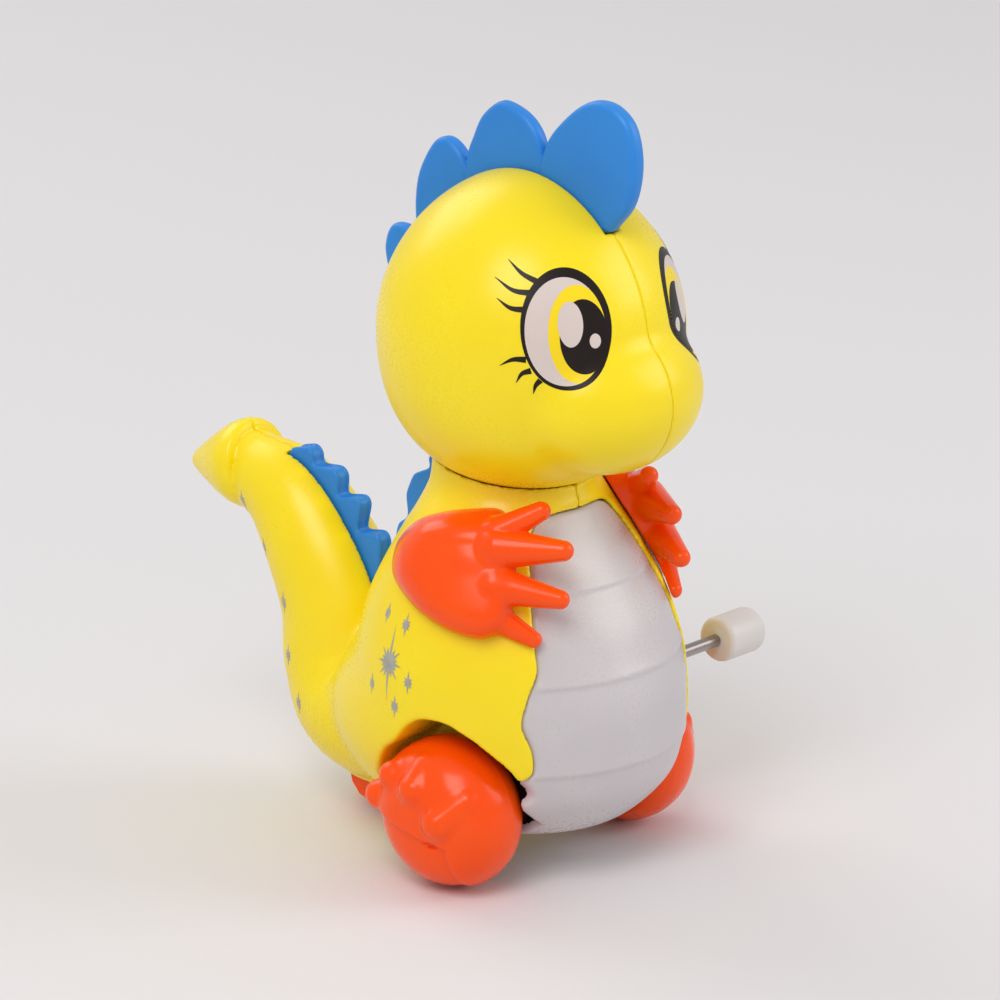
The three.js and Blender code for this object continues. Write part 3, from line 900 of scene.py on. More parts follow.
def bevel_rims(piece: bpy.types.Object, width: float, segments: int, degrees: float = 40) -> None:
    """Bevels the sharp edges of a piece and applies it."""
    make_active(piece)
    m = piece.modifiers.new("rims", "BEVEL")
    m.width = width * MM
    m.segments = segments
    m.limit_method = "ANGLE"
    m.angle_limit = math.radians(degrees)
    bpy.ops.object.modifier_apply(modifier=m.name)


# ---------------------------------------------------------------------- head
@dataclass
class Head(Builder):
    """Round head with its broad snout, crest and printed eyes."""

    centre: Triple = (0.0, 1.6, 85.2)
    half: Triple = (23.7, 23.7, 24.7)
    jaw: Triple = (0.0, -13.8, 77.2)
    jaw_half: Triple = (16.4, 13.2, 12.2)
    jaw_soft: float = 1.5
    fullness: Pair = (1.92, 2.3)
    stem_hole: float = 8.45
    floor_z: float = 65.4
    leaf_half: float = 1.45
    cell: float = 0.36

    def outer(self, inset: float = 0.0) -> Form:
        """Outside of the head, moved in by inset."""
        a = egg(self.centre, tuple(h - inset for h in self.half), *self.fullness)
        b = ellipsoid(self.jaw, tuple(h - inset for h in self.jaw_half))
        return joined(a, b, soft=self.jaw_soft)

    def crest_leaves(self) -> list[np.ndarray]:
        """Outlines of the four crest leaves in (Y, Z), from the front."""
        cy, cz = self.centre[1], self.centre[2]

        def root(start: float, end: float) -> list[Pair]:
            """Arc inside the head wall that closes a leaf."""
            return [(cy + 21.2 * math.cos(t), cz + 21.9 * math.sin(t))
                    for t in np.linspace(start, end, 7)]

        front = [(-15.1, 102.6), (-18.8, 107.2), (-20.1, 113.3), (-18.9, 118.9), (-15.8, 121.7),
                 (-12.0, 122.2), (-8.6, 120.8), (-4.9, 117.7), (-2.5, 114.8), (-1.2, 111.6),
                 (-0.4, 107.4)]
        second = [(-2.0, 107.4), (-1.5, 112.4), (-0.3, 115.6), (2.1, 117.9), (5.6, 119.2),
                  (8.0, 119.0), (11.1, 116.4), (13.0, 112.7), (14.0, 110.2), (14.6, 106.0)]
        third = [(13.0, 104.8), (14.6, 109.2), (16.8, 111.4), (19.2, 111.9), (21.4, 110.3),
                 (24.0, 105.7), (24.8, 101.0), (24.6, 96.0)]
        rear = [(23.0, 94.4), (25.6, 96.2), (28.0, 96.7), (29.8, 96.3), (31.0, 94.4),
                (31.3, 91.6), (29.8, 87.8), (25.0, 85.8)]
        spans = [(1.60, 2.29), (1.05, 1.66), (0.46, 1.16), (0.10, 0.56)]
        leaves = []
        for edge, (start, end) in zip([front, second, third, rear], spans):
            curve = curve_through(edge, 8)
            leaves.append(np.vstack([curve, root(start, end)]))
        return leaves

    def build(self) -> None:
        """Builds the head's pieces."""
        leaves = [Stencil(o) for o in self.crest_leaves()]
        slot = joined(*[plate(Grown(s, 0.16), self.leaf_half + 0.16, 0.1) for s in leaves])
        shell = carved(self.outer(), self.outer(WALL), soft=0)
        floor = common(self.outer(), rod(Axis.Z, (0.0, self.centre[1]), 13.0, 40, self.floor_z))
        shell = joined(shell, floor)
        shell = carved(shell, rod(Axis.Z, (0.0, self.centre[1]), self.stem_hole, 40, 66.0), slot,
                       soft=0.35)
        left = carved(shell, half_space(Axis.X, SEAM, False), soft=0.3)
        low = (SEAM - self.cell / 2, -29.0, 58.0)
        piece = self.skinned("head_left_moulding", left, low, (25.2, 27.0, 112.0), self.cell)
        self.finish(piece, YELLOW, "head", Slot.YELLOW, "head_shell_left")
        other = mirror_copy(piece, "head_right_moulding", self.frame.shift.x)
        self.finish(other, YELLOW, "head", Slot.YELLOW, "head_shell_right")
        crest = joined(*[plate(s, self.leaf_half - 0.12 * (i % 2), 1.1)
                         for i, s in enumerate(leaves)])
        piece = self.skinned("crest_leaves", crest, (-2.6, -22.4, 83.4), (2.6, 32.4, 123.6), 0.3)
        self.finish(piece, BLUE, "head", Slot.BLUE, "head_crest")
        Eye(self.frame, self, -1).build()
        Eye(self.frame, self, 1, offset=(11.2, -18.4, 4.0)).build()


class Grown:
    """A stencil moved outwards."""

    def __init__(self, stencil: Stencil, by: float) -> None:
        """Keeps the stencil and the distance."""
        self.stencil, self.by = stencil, by

    def __call__(self, u: np.ndarray, v: np.ndarray) -> np.ndarray:
        """Distance at (u, v)."""
        return self.stencil(u, v) - self.by


def mirror_mesh(data: bpy.types.Mesh, middle: float) -> None:
    """Mirrors a mesh across X = middle and keeps its faces outwards."""
    co = np.zeros(len(data.vertices) * 3)
    data.vertices.foreach_get("co", co)
    co[0::3] = 2 * middle - co[0::3]
    data.vertices.foreach_set("co", co)
    data.flip_normals()


def mirror_copy(piece: bpy.types.Object, name: str, middle: float) -> bpy.types.Object:
    """Copy of a piece mirrored across X = middle, with faces outwards."""
    data = piece.data.copy()
    data.name = name
    mirror_mesh(data, middle)
    other = bpy.data.objects.new(name, data)
    bpy.context.scene.collection.objects.link(other)
    smooth(other, SHELL_ANGLE)
    return other


# -------------------------------------------------------------------- prints
def ellipse(centre: Pair, half: Pair, count: int = 72) -> np.ndarray:
    """Outline of an ellipse."""
    t = np.linspace(0, 2 * math.pi, count, endpoint=False)
    return np.stack([centre[0] + half[0] * np.cos(t), centre[1] + half[1] * np.sin(t)], 1)


def kept_inside(outline: np.ndarray, middle: Pair, fence: tuple[Pair, Pair]) -> np.ndarray:
    """Outline pulled towards its middle until it is inside an ellipse.

    Args:
        outline: the outline.
        middle: the point it is pulled to.
        fence: centre and half sizes of the ellipse.

    Returns:
        The new outline.
    """
    (cu, cv), (hu, hv) = fence
    rows = []
    for u, v in outline:
        du, dv = u - middle[0], v - middle[1]
        a = (du / hu) ** 2 + (dv / hv) ** 2
        b = 2 * ((middle[0] - cu) * du / hu ** 2 + (middle[1] - cv) * dv / hv ** 2)
        c = ((middle[0] - cu) / hu) ** 2 + ((middle[1] - cv) / hv) ** 2 - 1
        reach = (-b + math.sqrt(max(b * b - 4 * a * c, 0))) / (2 * a)
        k = min(1.0, reach)
        rows.append((middle[0] + k * du, middle[1] + k * dv))
    return np.array(rows)


@dataclass
class Printer(Builder):
    """Lays thin printed patches on a form."""

    surface: Form
    centre: np.ndarray
    across: np.ndarray
    up: np.ndarray
    out: np.ndarray

    def drop(self, uv: np.ndarray) -> tuple[np.ndarray, np.ndarray]:
        """Drops flat points onto the surface along the print's own direction.

        Args:
            uv: points in the print's plane.

        Returns:
            Points on the surface and the normals there.
        """
        p = self.centre + uv[:, :1] * self.across + uv[:, 1:] * self.up
        for _ in range(14):
            d = self.surface(p)
            ahead = (self.surface(p + NUDGE * self.out) - d) / NUDGE
            p = p - np.clip(d / np.maximum(ahead, 0.25), -2, 2)[:, None] * self.out
        base = self.surface(p)
        n = np.stack([(self.surface(p + NUDGE * e) - base) / NUDGE for e in np.eye(3)], 1)
        return p, n / np.linalg.norm(n, axis=1)[:, None]

    def solid(self, name: str, uv: np.ndarray, faces: list[tuple[int, ...]], rim: list[int],
              height: float, sink: float = 0.06) -> bpy.types.Object:
        """Thin solid over flat points.

        Args:
            name: its name.
            uv: flat points.
            faces: faces over them, anticlockwise from outside.
            rim: boundary point numbers, anticlockwise.
            height: how far its top stands off the surface.
            sink: how far its underside is sunk.

        Returns:
            The object.
        """
        p, n = self.drop(uv)
        count = len(uv)
        verts = np.vstack([p + height * n, p - sink * n])
        flip = float(np.cross(self.across, self.up) @ self.out) < 0
        rows = [f[::-1] if flip else f for f in faces]
        rows += [tuple(i + count for i in f[::-1]) for f in rows]
        edge = rim[::-1] if flip else rim
        for a, b in zip(edge, edge[1:] + edge[:1]):
            rows.append((a, a + count, b + count, b))
        piece = mesh_object(name, self.frame.to_row(verts), rows)
        smooth(piece, RIM_ANGLE)
        return piece

    def patch(self, name: str, outline: np.ndarray, middle: Pair, height: float,
              rings: int = 10) -> bpy.types.Object:
        """Filled patch whose outline is seen whole from its middle.

        Args:
            name: its name.
            outline: its edge, anticlockwise.
            middle: that middle.
            height: how far it stands off the surface.
            rings: rings of faces.

        Returns:
            The object.
        """
        mid = np.array(middle, float)
        count = len(outline)
        uv = [mid[None]]
        for i in range(1, rings + 1):
            uv.append(mid + (outline - mid) * i / rings)
        faces = [(0, 1 + j, 1 + (j + 1) % count) for j in range(count)]
        for i in range(rings - 1):
            a, b = 1 + i * count, 1 + (i + 1) * count
            for j in range(count):
                k = (j + 1) % count
                faces.append((a + j, b + j, b + k, a + k))
        last = 1 + (rings - 1) * count
        return self.solid(name, np.vstack(uv), faces, [last + j for j in range(count)], height)

    def stroke(self, name: str, points: list[Pair], widths: list[float],
               height: float) -> bpy.types.Object:
        """Tapered stroke along a smooth line.

        Args:
            name: its name.
            points: points of the line.
            widths: full width at each point.
            height: how far it stands off the surface.

        Returns:
            The object.
        """
        rows = [(u, v, w) for (u, v), w in zip(points, widths)]
        path = curve_through(rows, 8)
        d = np.gradient(path[:, :2], axis=0)
        d /= np.linalg.norm(d, axis=1)[:, None]
        side = np.stack([-d[:, 1], d[:, 0]], 1) * path[:, 2:] / 2
        count = len(path)
        uv = np.vstack([path[:, :2] - side, path[:, :2] + side])
        faces = [(i, i + 1, count + i + 1, count + i) for i in range(count - 1)]
        rim = list(range(count)) + [count + i for i in range(count - 1, -1, -1)]
        return self.solid(name, uv, faces, rim, height)


class Spark(Enum):
    """Kinds of silver print."""

    BURST = "burst"
    PLAIN = "spark"
    SLIM = "slim_spark"

    def outline(self) -> np.ndarray:
        """Pointed outline, anticlockwise."""
        rays = {
            Spark.BURST: [2.9, 2.0, 3.0, 2.5, 5.9, 2.4, 3.0, 2.1, 3.0, 1.9, 2.9, 2.5, 6.0, 2.2,
                          3.1, 2.0],
            Spark.PLAIN: [0.9, 1.1, 1.9, 1.1, 0.9, 1.0, 1.9, 1.1],
            Spark.SLIM: [0.6, 0.8, 1.7, 0.8, 0.6, 0.8, 1.6, 0.8],
        }[self]
        valley = 1.45 if self is Spark.BURST else 0.62
        rows = []
        for i, ray in enumerate(rays):
            for step, r in ((0.0, ray), (0.5, valley)):
                t = 2 * math.pi * (i + step) / len(rays)
                rows.append((r * math.cos(t), r * math.sin(t)))
        ring = np.array(rows)
        mids = (ring + np.roll(ring, -1, axis=0)) / 2
        return np.stack([ring, mids], 1).reshape(-1, 2)


@dataclass
class Eye:
    """One printed eye."""

    frame: Frame
    head: Head
    side: int
    offset: Triple = (12.4, -17.9, 5.0)
    rim: tuple[Pair, Pair] = ((0.0, 0.0), (7.0, 9.15))
    sclera: tuple[Pair, Pair] = ((-0.2, -0.4), (6.2, 8.1))
    iris: tuple[Pair, Pair] = ((1.7, -0.9), (4.7, 7.35))
    pupil: tuple[Pair, Pair] = ((2.5, -1.3), (3.8, 5.6))
    glint: tuple[Pair, Pair] = ((0.45, 0.67), (1.95, 3.4))
    small_glint: tuple[Pair, Pair] = ((4.2, -2.0), (0.9, 1.1))

    def printer(self) -> Printer:
        """Printer whose across points to the nose and whose up is up."""
        c = self.head.centre
        at = np.array([c[0] + self.side * self.offset[0], c[1] + self.offset[1],
                       c[2] + self.offset[2]])
        out = (at - np.array(c)) / np.array(self.head.half) ** 2
        out /= np.linalg.norm(out)
        across = np.cross(out, [0, 0, 1.0]) * self.side
        across /= np.linalg.norm(across)
        up = np.cross(out, across)
        up *= np.sign(up[2])
        return Printer(self.frame, self.head.outer(), at, across, up, out)

    def lashes(self) -> list[list[Pair]]:
        """Lash lines from root to tip."""
        return [
            [(-3.9, 7.2), (-6.0, 8.6), (-7.6, 10.7)],
            [(-5.0, 5.6), (-7.6, 6.2), (-9.8, 8.2)],
            [(-6.2, 3.2), (-8.2, 3.6), (-9.9, 5.1)],
            [(-6.3, -4.2), (-8.2, -4.1), (-10.0, -4.9)],
            [(-5.6, -5.9), (-6.9, -6.3), (-7.7, -7.6)],
            [(-4.2, -7.4), (-4.9, -8.2), (-5.2, -9.4)],
        ]

    def build(self) -> None:
        """Prints the eye in layers."""
        tag = "left" if self.side > 0 else "right"
        pen = self.printer()
        fence = self.sclera
        layers = [
            ("rim", self.rim, INK_BLACK, 0.03, None),
            ("white", self.sclera, INK_WHITE, 0.05, None),
            ("iris", self.iris, INK_YELLOW, 0.07, fence),
            ("pupil", self.pupil, INK_BLACK, 0.09, fence),
            ("glint", self.glint, INK_WHITE, 0.11, None),
            ("small_glint", self.small_glint, INK_WHITE, 0.11, None),
        ]
        for name, (middle, half), ink, height, limit in layers:
            edge = ellipse(middle, half)
            if limit:
                edge = kept_inside(edge, middle, limit)
            piece = pen.patch(f"eye_{tag}_{name}", edge, middle, height)
            pen.finish(piece, ink, "head", None)
        for i, line in enumerate(self.lashes()):
            piece = pen.stroke(f"eye_{tag}_lash_{i + 1}", line, [0.95, 0.62, 0.08], 0.04)
            pen.finish(piece, INK_BLACK, "head", None)


# ---------------------------------------------------------------------- body
@dataclass
class Body(Builder):
    """Body shell with its tail, belly plate and spines."""

    torso: Loft = field(default_factory=lambda: Loft([
        (5.5, 1, 4, 4), (6.4, 1.2, 11, 11), (8.5, 1.6, 17, 17), (13.6, 2.5, 23, 23),
        (18.5, 3, 25.3, 25.2), (24, 3.3, 26.1, 26), (30, 3.5, 26, 26), (35, 3.8, 25.5, 25),
        (41, 4.1, 24, 23.2), (46, 4.4, 22.2, 20.6), (52, 4.6, 19.3, 17), (56, 4.7, 16.9, 14.4),
        (59.5, 4.8, 14.3, 12.9), (61.5, 4.9, 13.4, 12.5), (64.6, 5.0, 12.8, 12.4)]))
    tail: list[Triple] = field(default_factory=lambda: [
        (13, 19, 15), (24, 18, 13.6), (35.2, 18.1, 12.7), (40.2, 23.4, 10.8), (41.8, 31.7, 10),
        (46.2, 40.1, 9.2), (52.4, 47.4, 7.9), (61, 50.9, 5.9)])
    haunch: Triple = (0.0, 10.2, 22.5)
    haunch_half: Triple = (23.8, 25.4, 17.3)
    tip_profile: list[Pair] = field(default_factory=lambda: [
        (-0.6, 0.0), (-0.6, 6.5), (-0.3, 7.0), (0.3, 7.25), (1.6, 7.3), (3.2, 6.9), (6.0, 5.6),
        (9.5, 3.7), (12.6, 1.9), (13.8, 1.0), (14.3, 0.4), (14.4, 0.0)])
    belly_edge: list[Pair] = field(default_factory=lambda: [
        (-5.0, 58.3), (0, 58.4), (5, 58.3), (8.5, 57.2), (11, 54), (13, 49.5), (14.8, 45),
        (16.1, 40.4), (16.7, 36.8), (18.6, 32.6), (19.5, 28.6), (18.5, 24.4), (18.3, 21.3),
        (19.0, 19.4), (17.7, 17.0), (18.3, 15.2), (17.6, 12.5), (15.5, 9.5), (12.6, 3)])
    ribs: tuple[float, ...] = (47.5, 34.5, 20.5)
    neck_spines: list[Pair] = field(default_factory=lambda: [
        (15.4, 61.6), (20.4, 61.4), (22.2, 60.4), (21.6, 58.6), (25.2, 57), (26.9, 53.4),
        (26.4, 49.6), (28.6, 48.2), (29.4, 44.6), (28.6, 41.4), (25.6, 40.2), (22.6, 43.6),
        (19.4, 50), (16.2, 56)])
    tail_spines: list[Pair] = field(default_factory=lambda: [
        (33.4, 32.8), (32.5, 35.6), (32.2, 44.2), (33.2, 45.5), (37.4, 44.8), (36.3, 49.3),
        (37.3, 50.6), (41.6, 49.8), (41.2, 53.0), (42.4, 54.3), (46.8, 53.9), (46.9, 55.8),
        (48.2, 56.9), (51.8, 56.0), (53.2, 53), (48.4, 47.2), (43.6, 42), (39.2, 34.6),
        (36.4, 30.8)])
    arch: list[Pair] = field(default_factory=lambda: [
        (13.1, 4.0), (13.1, 12.0), (12.4, 16.2), (9.6, 20.9), (7.0, 23.0), (5.6, 24.5),
        (4.0, 26.3), (1.2, 28.0), (-3.0, 28.1), (-5.8, 26.9), (-8.6, 25.1), (-12.6, 20.8),
        (-12.9, 16.5), (-12.7, 12.0), (-12.7, 4.0)])
    belly_wheel_radius: float = 12.45
    post_radius: float = 3.5
    screw_recess: float = 2.5
    screw_bore: float = 1.25
    screws: dict[str, Triple] = field(default_factory=lambda: {
        "shell_screw_upper": (14.0, 47.0, 15.0), "shell_screw_lower": (20.0, 25.0, 15.5),
        "shell_screw_tail": (50.6, 42.4, 3.0)})
    prints: list[tuple[Triple, "Spark"]] = field(default_factory=lambda: [
        ((25.0, 8.3, 35.4), Spark.BURST), ((22.6, 10.7, 42.3), Spark.SLIM),
        ((23.7, 5.9, 41.7), Spark.PLAIN), ((24.6, 12.6, 31.0), Spark.SLIM),
        ((25.8, 3.7, 33.4), Spark.PLAIN), ((26.0, 6.4, 29.0), Spark.PLAIN),
        ((5.9, 57.7, 47.0), Spark.PLAIN), ((7.4, 51.5, 40.8), Spark.SLIM),
        ((8.7, 46.1, 33.0), Spark.PLAIN), ((9.6, 44.7, 24.6), Spark.PLAIN),
        ((11.5, 41.3, 17.6), Spark.PLAIN)])
    wind: Pair = (-10.0, 29.2)
    well_x: float = 12.9
    neck_cap: float = 57.0
    neck_top: float = 67.8
    neck_radius: float = 8.0
    flange_radius: float = 10.2
    flange_z: Pair = (65.8, 67.2)
    cup_gap: float = 0.16
    head: Head | None = None
    cell: float = 0.45

    def trunk(self, inset: float = 0.0) -> Form:
        """Torso with its fuller haunches, moved in by inset."""
        haunch = ellipsoid(self.haunch, tuple(h - inset for h in self.haunch_half))
        floor = half_space(Axis.Z, 5.4 + inset, True)
        return common(joined(grown(self.torso, -inset), haunch, soft=3.0), floor, soft=1.0)

    def outer(self) -> Form:
        """Outside of the body and tail."""
        tip = turned((0.0, 61.0, 51.3), (0.0, 14.4, -2.2), self.tip_profile)
        return joined(joined(self.trunk(), Tube(self.tail), soft=2.2), tip, soft=0.15)

    def inner(self) -> Form:
        """Hollow of the body and tail."""
        hollow = [(y, z, r - WALL - 0.2) for y, z, r in self.tail[:7]]
        return joined(self.trunk(WALL), Tube(hollow))

    def belly_stencil(self) -> Stencil:
        """Belly opening in (X, Z), right of the middle; |X| is read."""
        edge = curve_through(self.belly_edge, 6)
        return Stencil(np.vstack([edge, [(-5.0, 3.0)]]))

    def wells(self) -> list[Form]:
        """Wheel wells on both sides."""
        opening = Stencil(curve_through(self.arch, 5))
        half, middle = (FAR - self.well_x) / 2, (FAR + self.well_x) / 2
        return [plate(opening, half, 0.01, side * middle) for side in (1, -1)]

    def shell(self, outer: Form) -> Form:
        """The whole shell before it is split."""
        h = self.head
        solid_neck = common(outer, half_space(Axis.Z, self.neck_cap, True))
        shell = joined(carved(outer, self.inner(), soft=0), solid_neck)
        cup = egg(h.centre, tuple(v + self.cup_gap for v in h.half), *h.fullness)
        shell = carved(shell, cup, soft=0.25)
        neck_line = (0.0, h.centre[1])
        stem = rod(Axis.Z, neck_line, self.neck_radius, self.neck_cap, self.neck_top)
        flange = rod(Axis.Z, neck_line, self.flange_radius, *self.flange_z)
        bore = rod(Axis.Z, neck_line, self.neck_radius - WALL, 50.0, 70.0)
        shell = carved(joined(shell, stem, flange), bore, soft=0.2)
        for y, z, x in self.screws.values():
            shell = joined(shell, common(outer, rod(Axis.X, (y, z), self.post_radius, -8.0, x)))
        walls = common(self.trunk(), joined(*[grown(w, 1.3) for w in self.wells()]),
                       brick((-FAR, -18, 12), (FAR, 30, 40)))
        shell = joined(shell, walls)
        window = front_prism(Grown(self.belly_stencil(), -0.5), 2.0)
        shell = carved(shell, window, soft=1.0)
        shell = carved(shell, *self.wells(), soft=0.8)
        shell = carved(shell, brick((-FAR, -FAR, 0), (FAR, 0, 19.6)), soft=0.8)
        shell = carved(shell, rod(Axis.X, self.wind, 2.2, 10, FAR),
                       plate(Stencil(self.spine_outline(self.neck_spines)), 1.75, 0.1),
                       plate(Stencil(self.spine_outline(self.tail_spines)), 1.95, 0.1),
                       brick((-4.2, 23.0, -2), (4.2, 33.2, 9.4)),
                       rod(Axis.X, (28.0, 4.4), 1.3, -30, 30), soft=0.3)
        for y, z, x in self.screws.values():
            shell = carved(shell, rod(Axis.X, (y, z), self.screw_recess, x - 1.4, FAR),
                           rod(Axis.X, (y, z), self.screw_bore, -6.4, x), soft=0.3)
        return shell

    def spine_outline(self, points: list[Pair]) -> np.ndarray:
        """Closed outline of a row of spines with its corners cut twice, which rounds them."""
        ring = np.array(points)
        for _ in range(2):
            after = np.roll(ring, -1, axis=0)
            share = np.minimum(0.25, 0.5 / np.linalg.norm(after - ring, axis=1))[:, None]
            ring = np.stack([ring + share * (after - ring), after - share * (after - ring)], 1)
            ring = ring.reshape(-1, 2)
        return ring

    def build(self) -> None:
        """Builds the body's pieces."""
        outer = self.outer()
        shell = self.shell(outer)
        low, high = (SEAM - self.cell / 2, -26.0, 3.0), (28.0, 77.4, 69.0)
        for tag, sign in (("left", 1.0), ("right", -1.0)):
            side = (lambda form: form) if sign > 0 else mirrored
            half = carved(side(shell), half_space(Axis.X, SEAM, False), soft=0.3)
            piece = self.skinned(f"body_{tag}_moulding", half, low, high, self.cell)
            if sign < 0:
                mirror_mesh(piece.data, self.frame.shift.x)
                smooth(piece, SHELL_ANGLE)
            self.finish(piece, YELLOW, "body", Slot.YELLOW, f"body_shell_{tag}")
        self.build_belly()
        self.build_spines()
        self.build_prints(outer)

    def build_prints(self, outer: Form) -> None:
        """Prints a silver star burst and sparks on each side."""
        for side, tag in ((-1, "right"), (1, "left")):
            for i, (place, kind) in enumerate(self.prints):
                at = np.array([side * place[0], place[1], place[2]])
                base = outer(at[None])[0]
                out = np.array([outer((at + NUDGE * e)[None])[0] - base for e in np.eye(3)])
                out /= np.linalg.norm(out)
                across = np.cross([0, 0, 1.0], out)
                across /= np.linalg.norm(across)
                up = np.cross(out, across)
                pen = Printer(self.frame, outer, at, across, up, out)
                piece = pen.patch(f"{kind.value}_{tag}_{i + 1}", kind.outline(), (0, 0), 0.04, 6)
                pen.finish(piece, INK_SILVER, "body", None)

    def build_belly(self) -> None:
        """Builds the ribbed belly plate."""
        def swell(z: np.ndarray) -> np.ndarray:
            """How far the plate stands out at a height: each band laps over the next."""
            out = np.zeros_like(z)
            for rib, lap in zip(self.ribs, (0.3, 0.4, 0.26)):
                above = lap * np.exp(-np.maximum(z - rib, 0) / 2.0)
                under = np.clip((z - rib + 0.9) / 0.9, 0, 1)
                out += above * under * under * (3 - 2 * under)
            return out

        def surface(p: Points) -> np.ndarray:
            """Outer face of the plate with its bands."""
            return self.torso(p) + 0.45 - swell(p[:, 2])

        plate_form = common(surface, front_prism(Grown(self.belly_stencil(), -0.72), 2.0),
                            soft=0.5)
        wheels = [rod(Axis.X, (0.0, AXLE_Z), self.belly_wheel_radius, a, b)
                  for a, b in ((self.well_x, FAR), (-FAR, -self.well_x))]
        plate_form = carved(plate_form, grown(self.torso, -WALL - 0.35), *wheels, soft=0.3)
        piece = self.skinned("belly_moulding", plate_form, (-21.0, -24.6, 4.0),
                             (21.0, 3.2, 60.0), 0.4)
        self.finish(piece, PEARL, "body", Slot.WHITE, "belly_plate")

    def build_spines(self) -> None:
        """Builds the two rows of blue spines."""
        rows = [("neck", self.neck_spines, 1.45, (-2.4, 14.0, 39.0), (2.4, 31.0, 63.0)),
                ("tail", self.tail_spines, 1.55, (-2.6, 29.6, 29.6), (2.6, 54.6, 59.4))]
        for name, points, half, low, high in rows:
            stencil = Stencil(self.spine_outline(points))
            rim = plate(Grown(stencil, 0.4), half - 0.62, 0.1)
            rim = carved(rim, plate(Grown(stencil, -0.35), FAR, 0.1), soft=0)
            form = carved(plate(stencil, half, 0.6), rim, soft=0.35)
            piece = self.skinned(f"{name}_spine_row", form, low, high, 0.26)
            self.finish(piece, BLUE, "body", Slot.BLUE, f"{name}_spines")


# ---------------------------------------------------------------------- arms
@dataclass
class Arm(Builder):
    """A paddle-shaped forearm with four fingers; it is built for the left side."""

    torso: Loft | None = None
    fingers: list[tuple[Triple, Triple, float, float]] = field(default_factory=lambda: [
        ((16.4, -6.4, 57.4), (12.5, -11.6, 60.9), 2.4, 1.5),
        ((17.2, -7.2, 55.2), (12.6, -16.2, 55.6), 3.3, 1.6),
        ((18.6, -8.0, 49.8), (14.1, -16.9, 48.4), 3.0, 1.5),
        ((19.8, -7.4, 45.6), (16.4, -13.6, 41.9), 2.5, 1.3)])
    facing: Triple = (0.711, -0.640, 0.292)    # square to the three-quarter view
    centre: Triple = (0.0, 8.0, 55.0)
    paddle: list[Pair] = field(default_factory=lambda: [
        (16.6, -9.2), (15.9, -5.9), (14.3, -3.6), (12.1, -2.0), (8.6, -0.95), (4.4, -0.5),
        (0.2, -0.5), (-1.6, -2.3), (-2.3, -5.7), (-2.5, -10.3), (-1.9, -15.4), (-0.4, -18.8),
        (2.3, -20.2), (4.8, -20.0), (8.8, -18.5), (12.9, -15.6), (15.9, -11.8)])
    thickness: float = 4.6
    peg: Pair = (3.0, 51.0)

    def form(self) -> Form:
        """The left arm: a domed paddle wrapped over the torso, with fingers."""
        out = np.array(self.facing)
        across = np.array([-out[1], out[0], 0.0])
        across /= np.linalg.norm(across)
        up = np.cross(out, across)
        outline = Stencil(curve_through(self.paddle, 6, closed=True))
        hand = common(grown(self.torso, self.thickness),
                      prism(outline, self.centre, across, up), soft=4.4)
        digits = [capsule(a, b, r0, r1) for a, b, r0, r1 in self.fingers]
        arm = joined(joined(*digits), hand, soft=0.9)
        arm = carved(arm, grown(self.torso, FIT), soft=0.4)
        return joined(arm, rod(Axis.X, self.peg, 2.2, 13.2, 21.0))

    def build(self) -> None:
        """Builds both arms."""
        piece = self.skinned("arm_left_moulding", self.form(), (8.4, -20.0, 37.0),
                             (31.0, 18.0, 66.0), 0.3)
        self.finish(piece, ORANGE, "body", Slot.ORANGE, "arm_left")
        other = mirror_copy(piece, "arm_right_moulding", self.frame.shift.x)
        self.finish(other, ORANGE, "body", Slot.ORANGE, "arm_right")


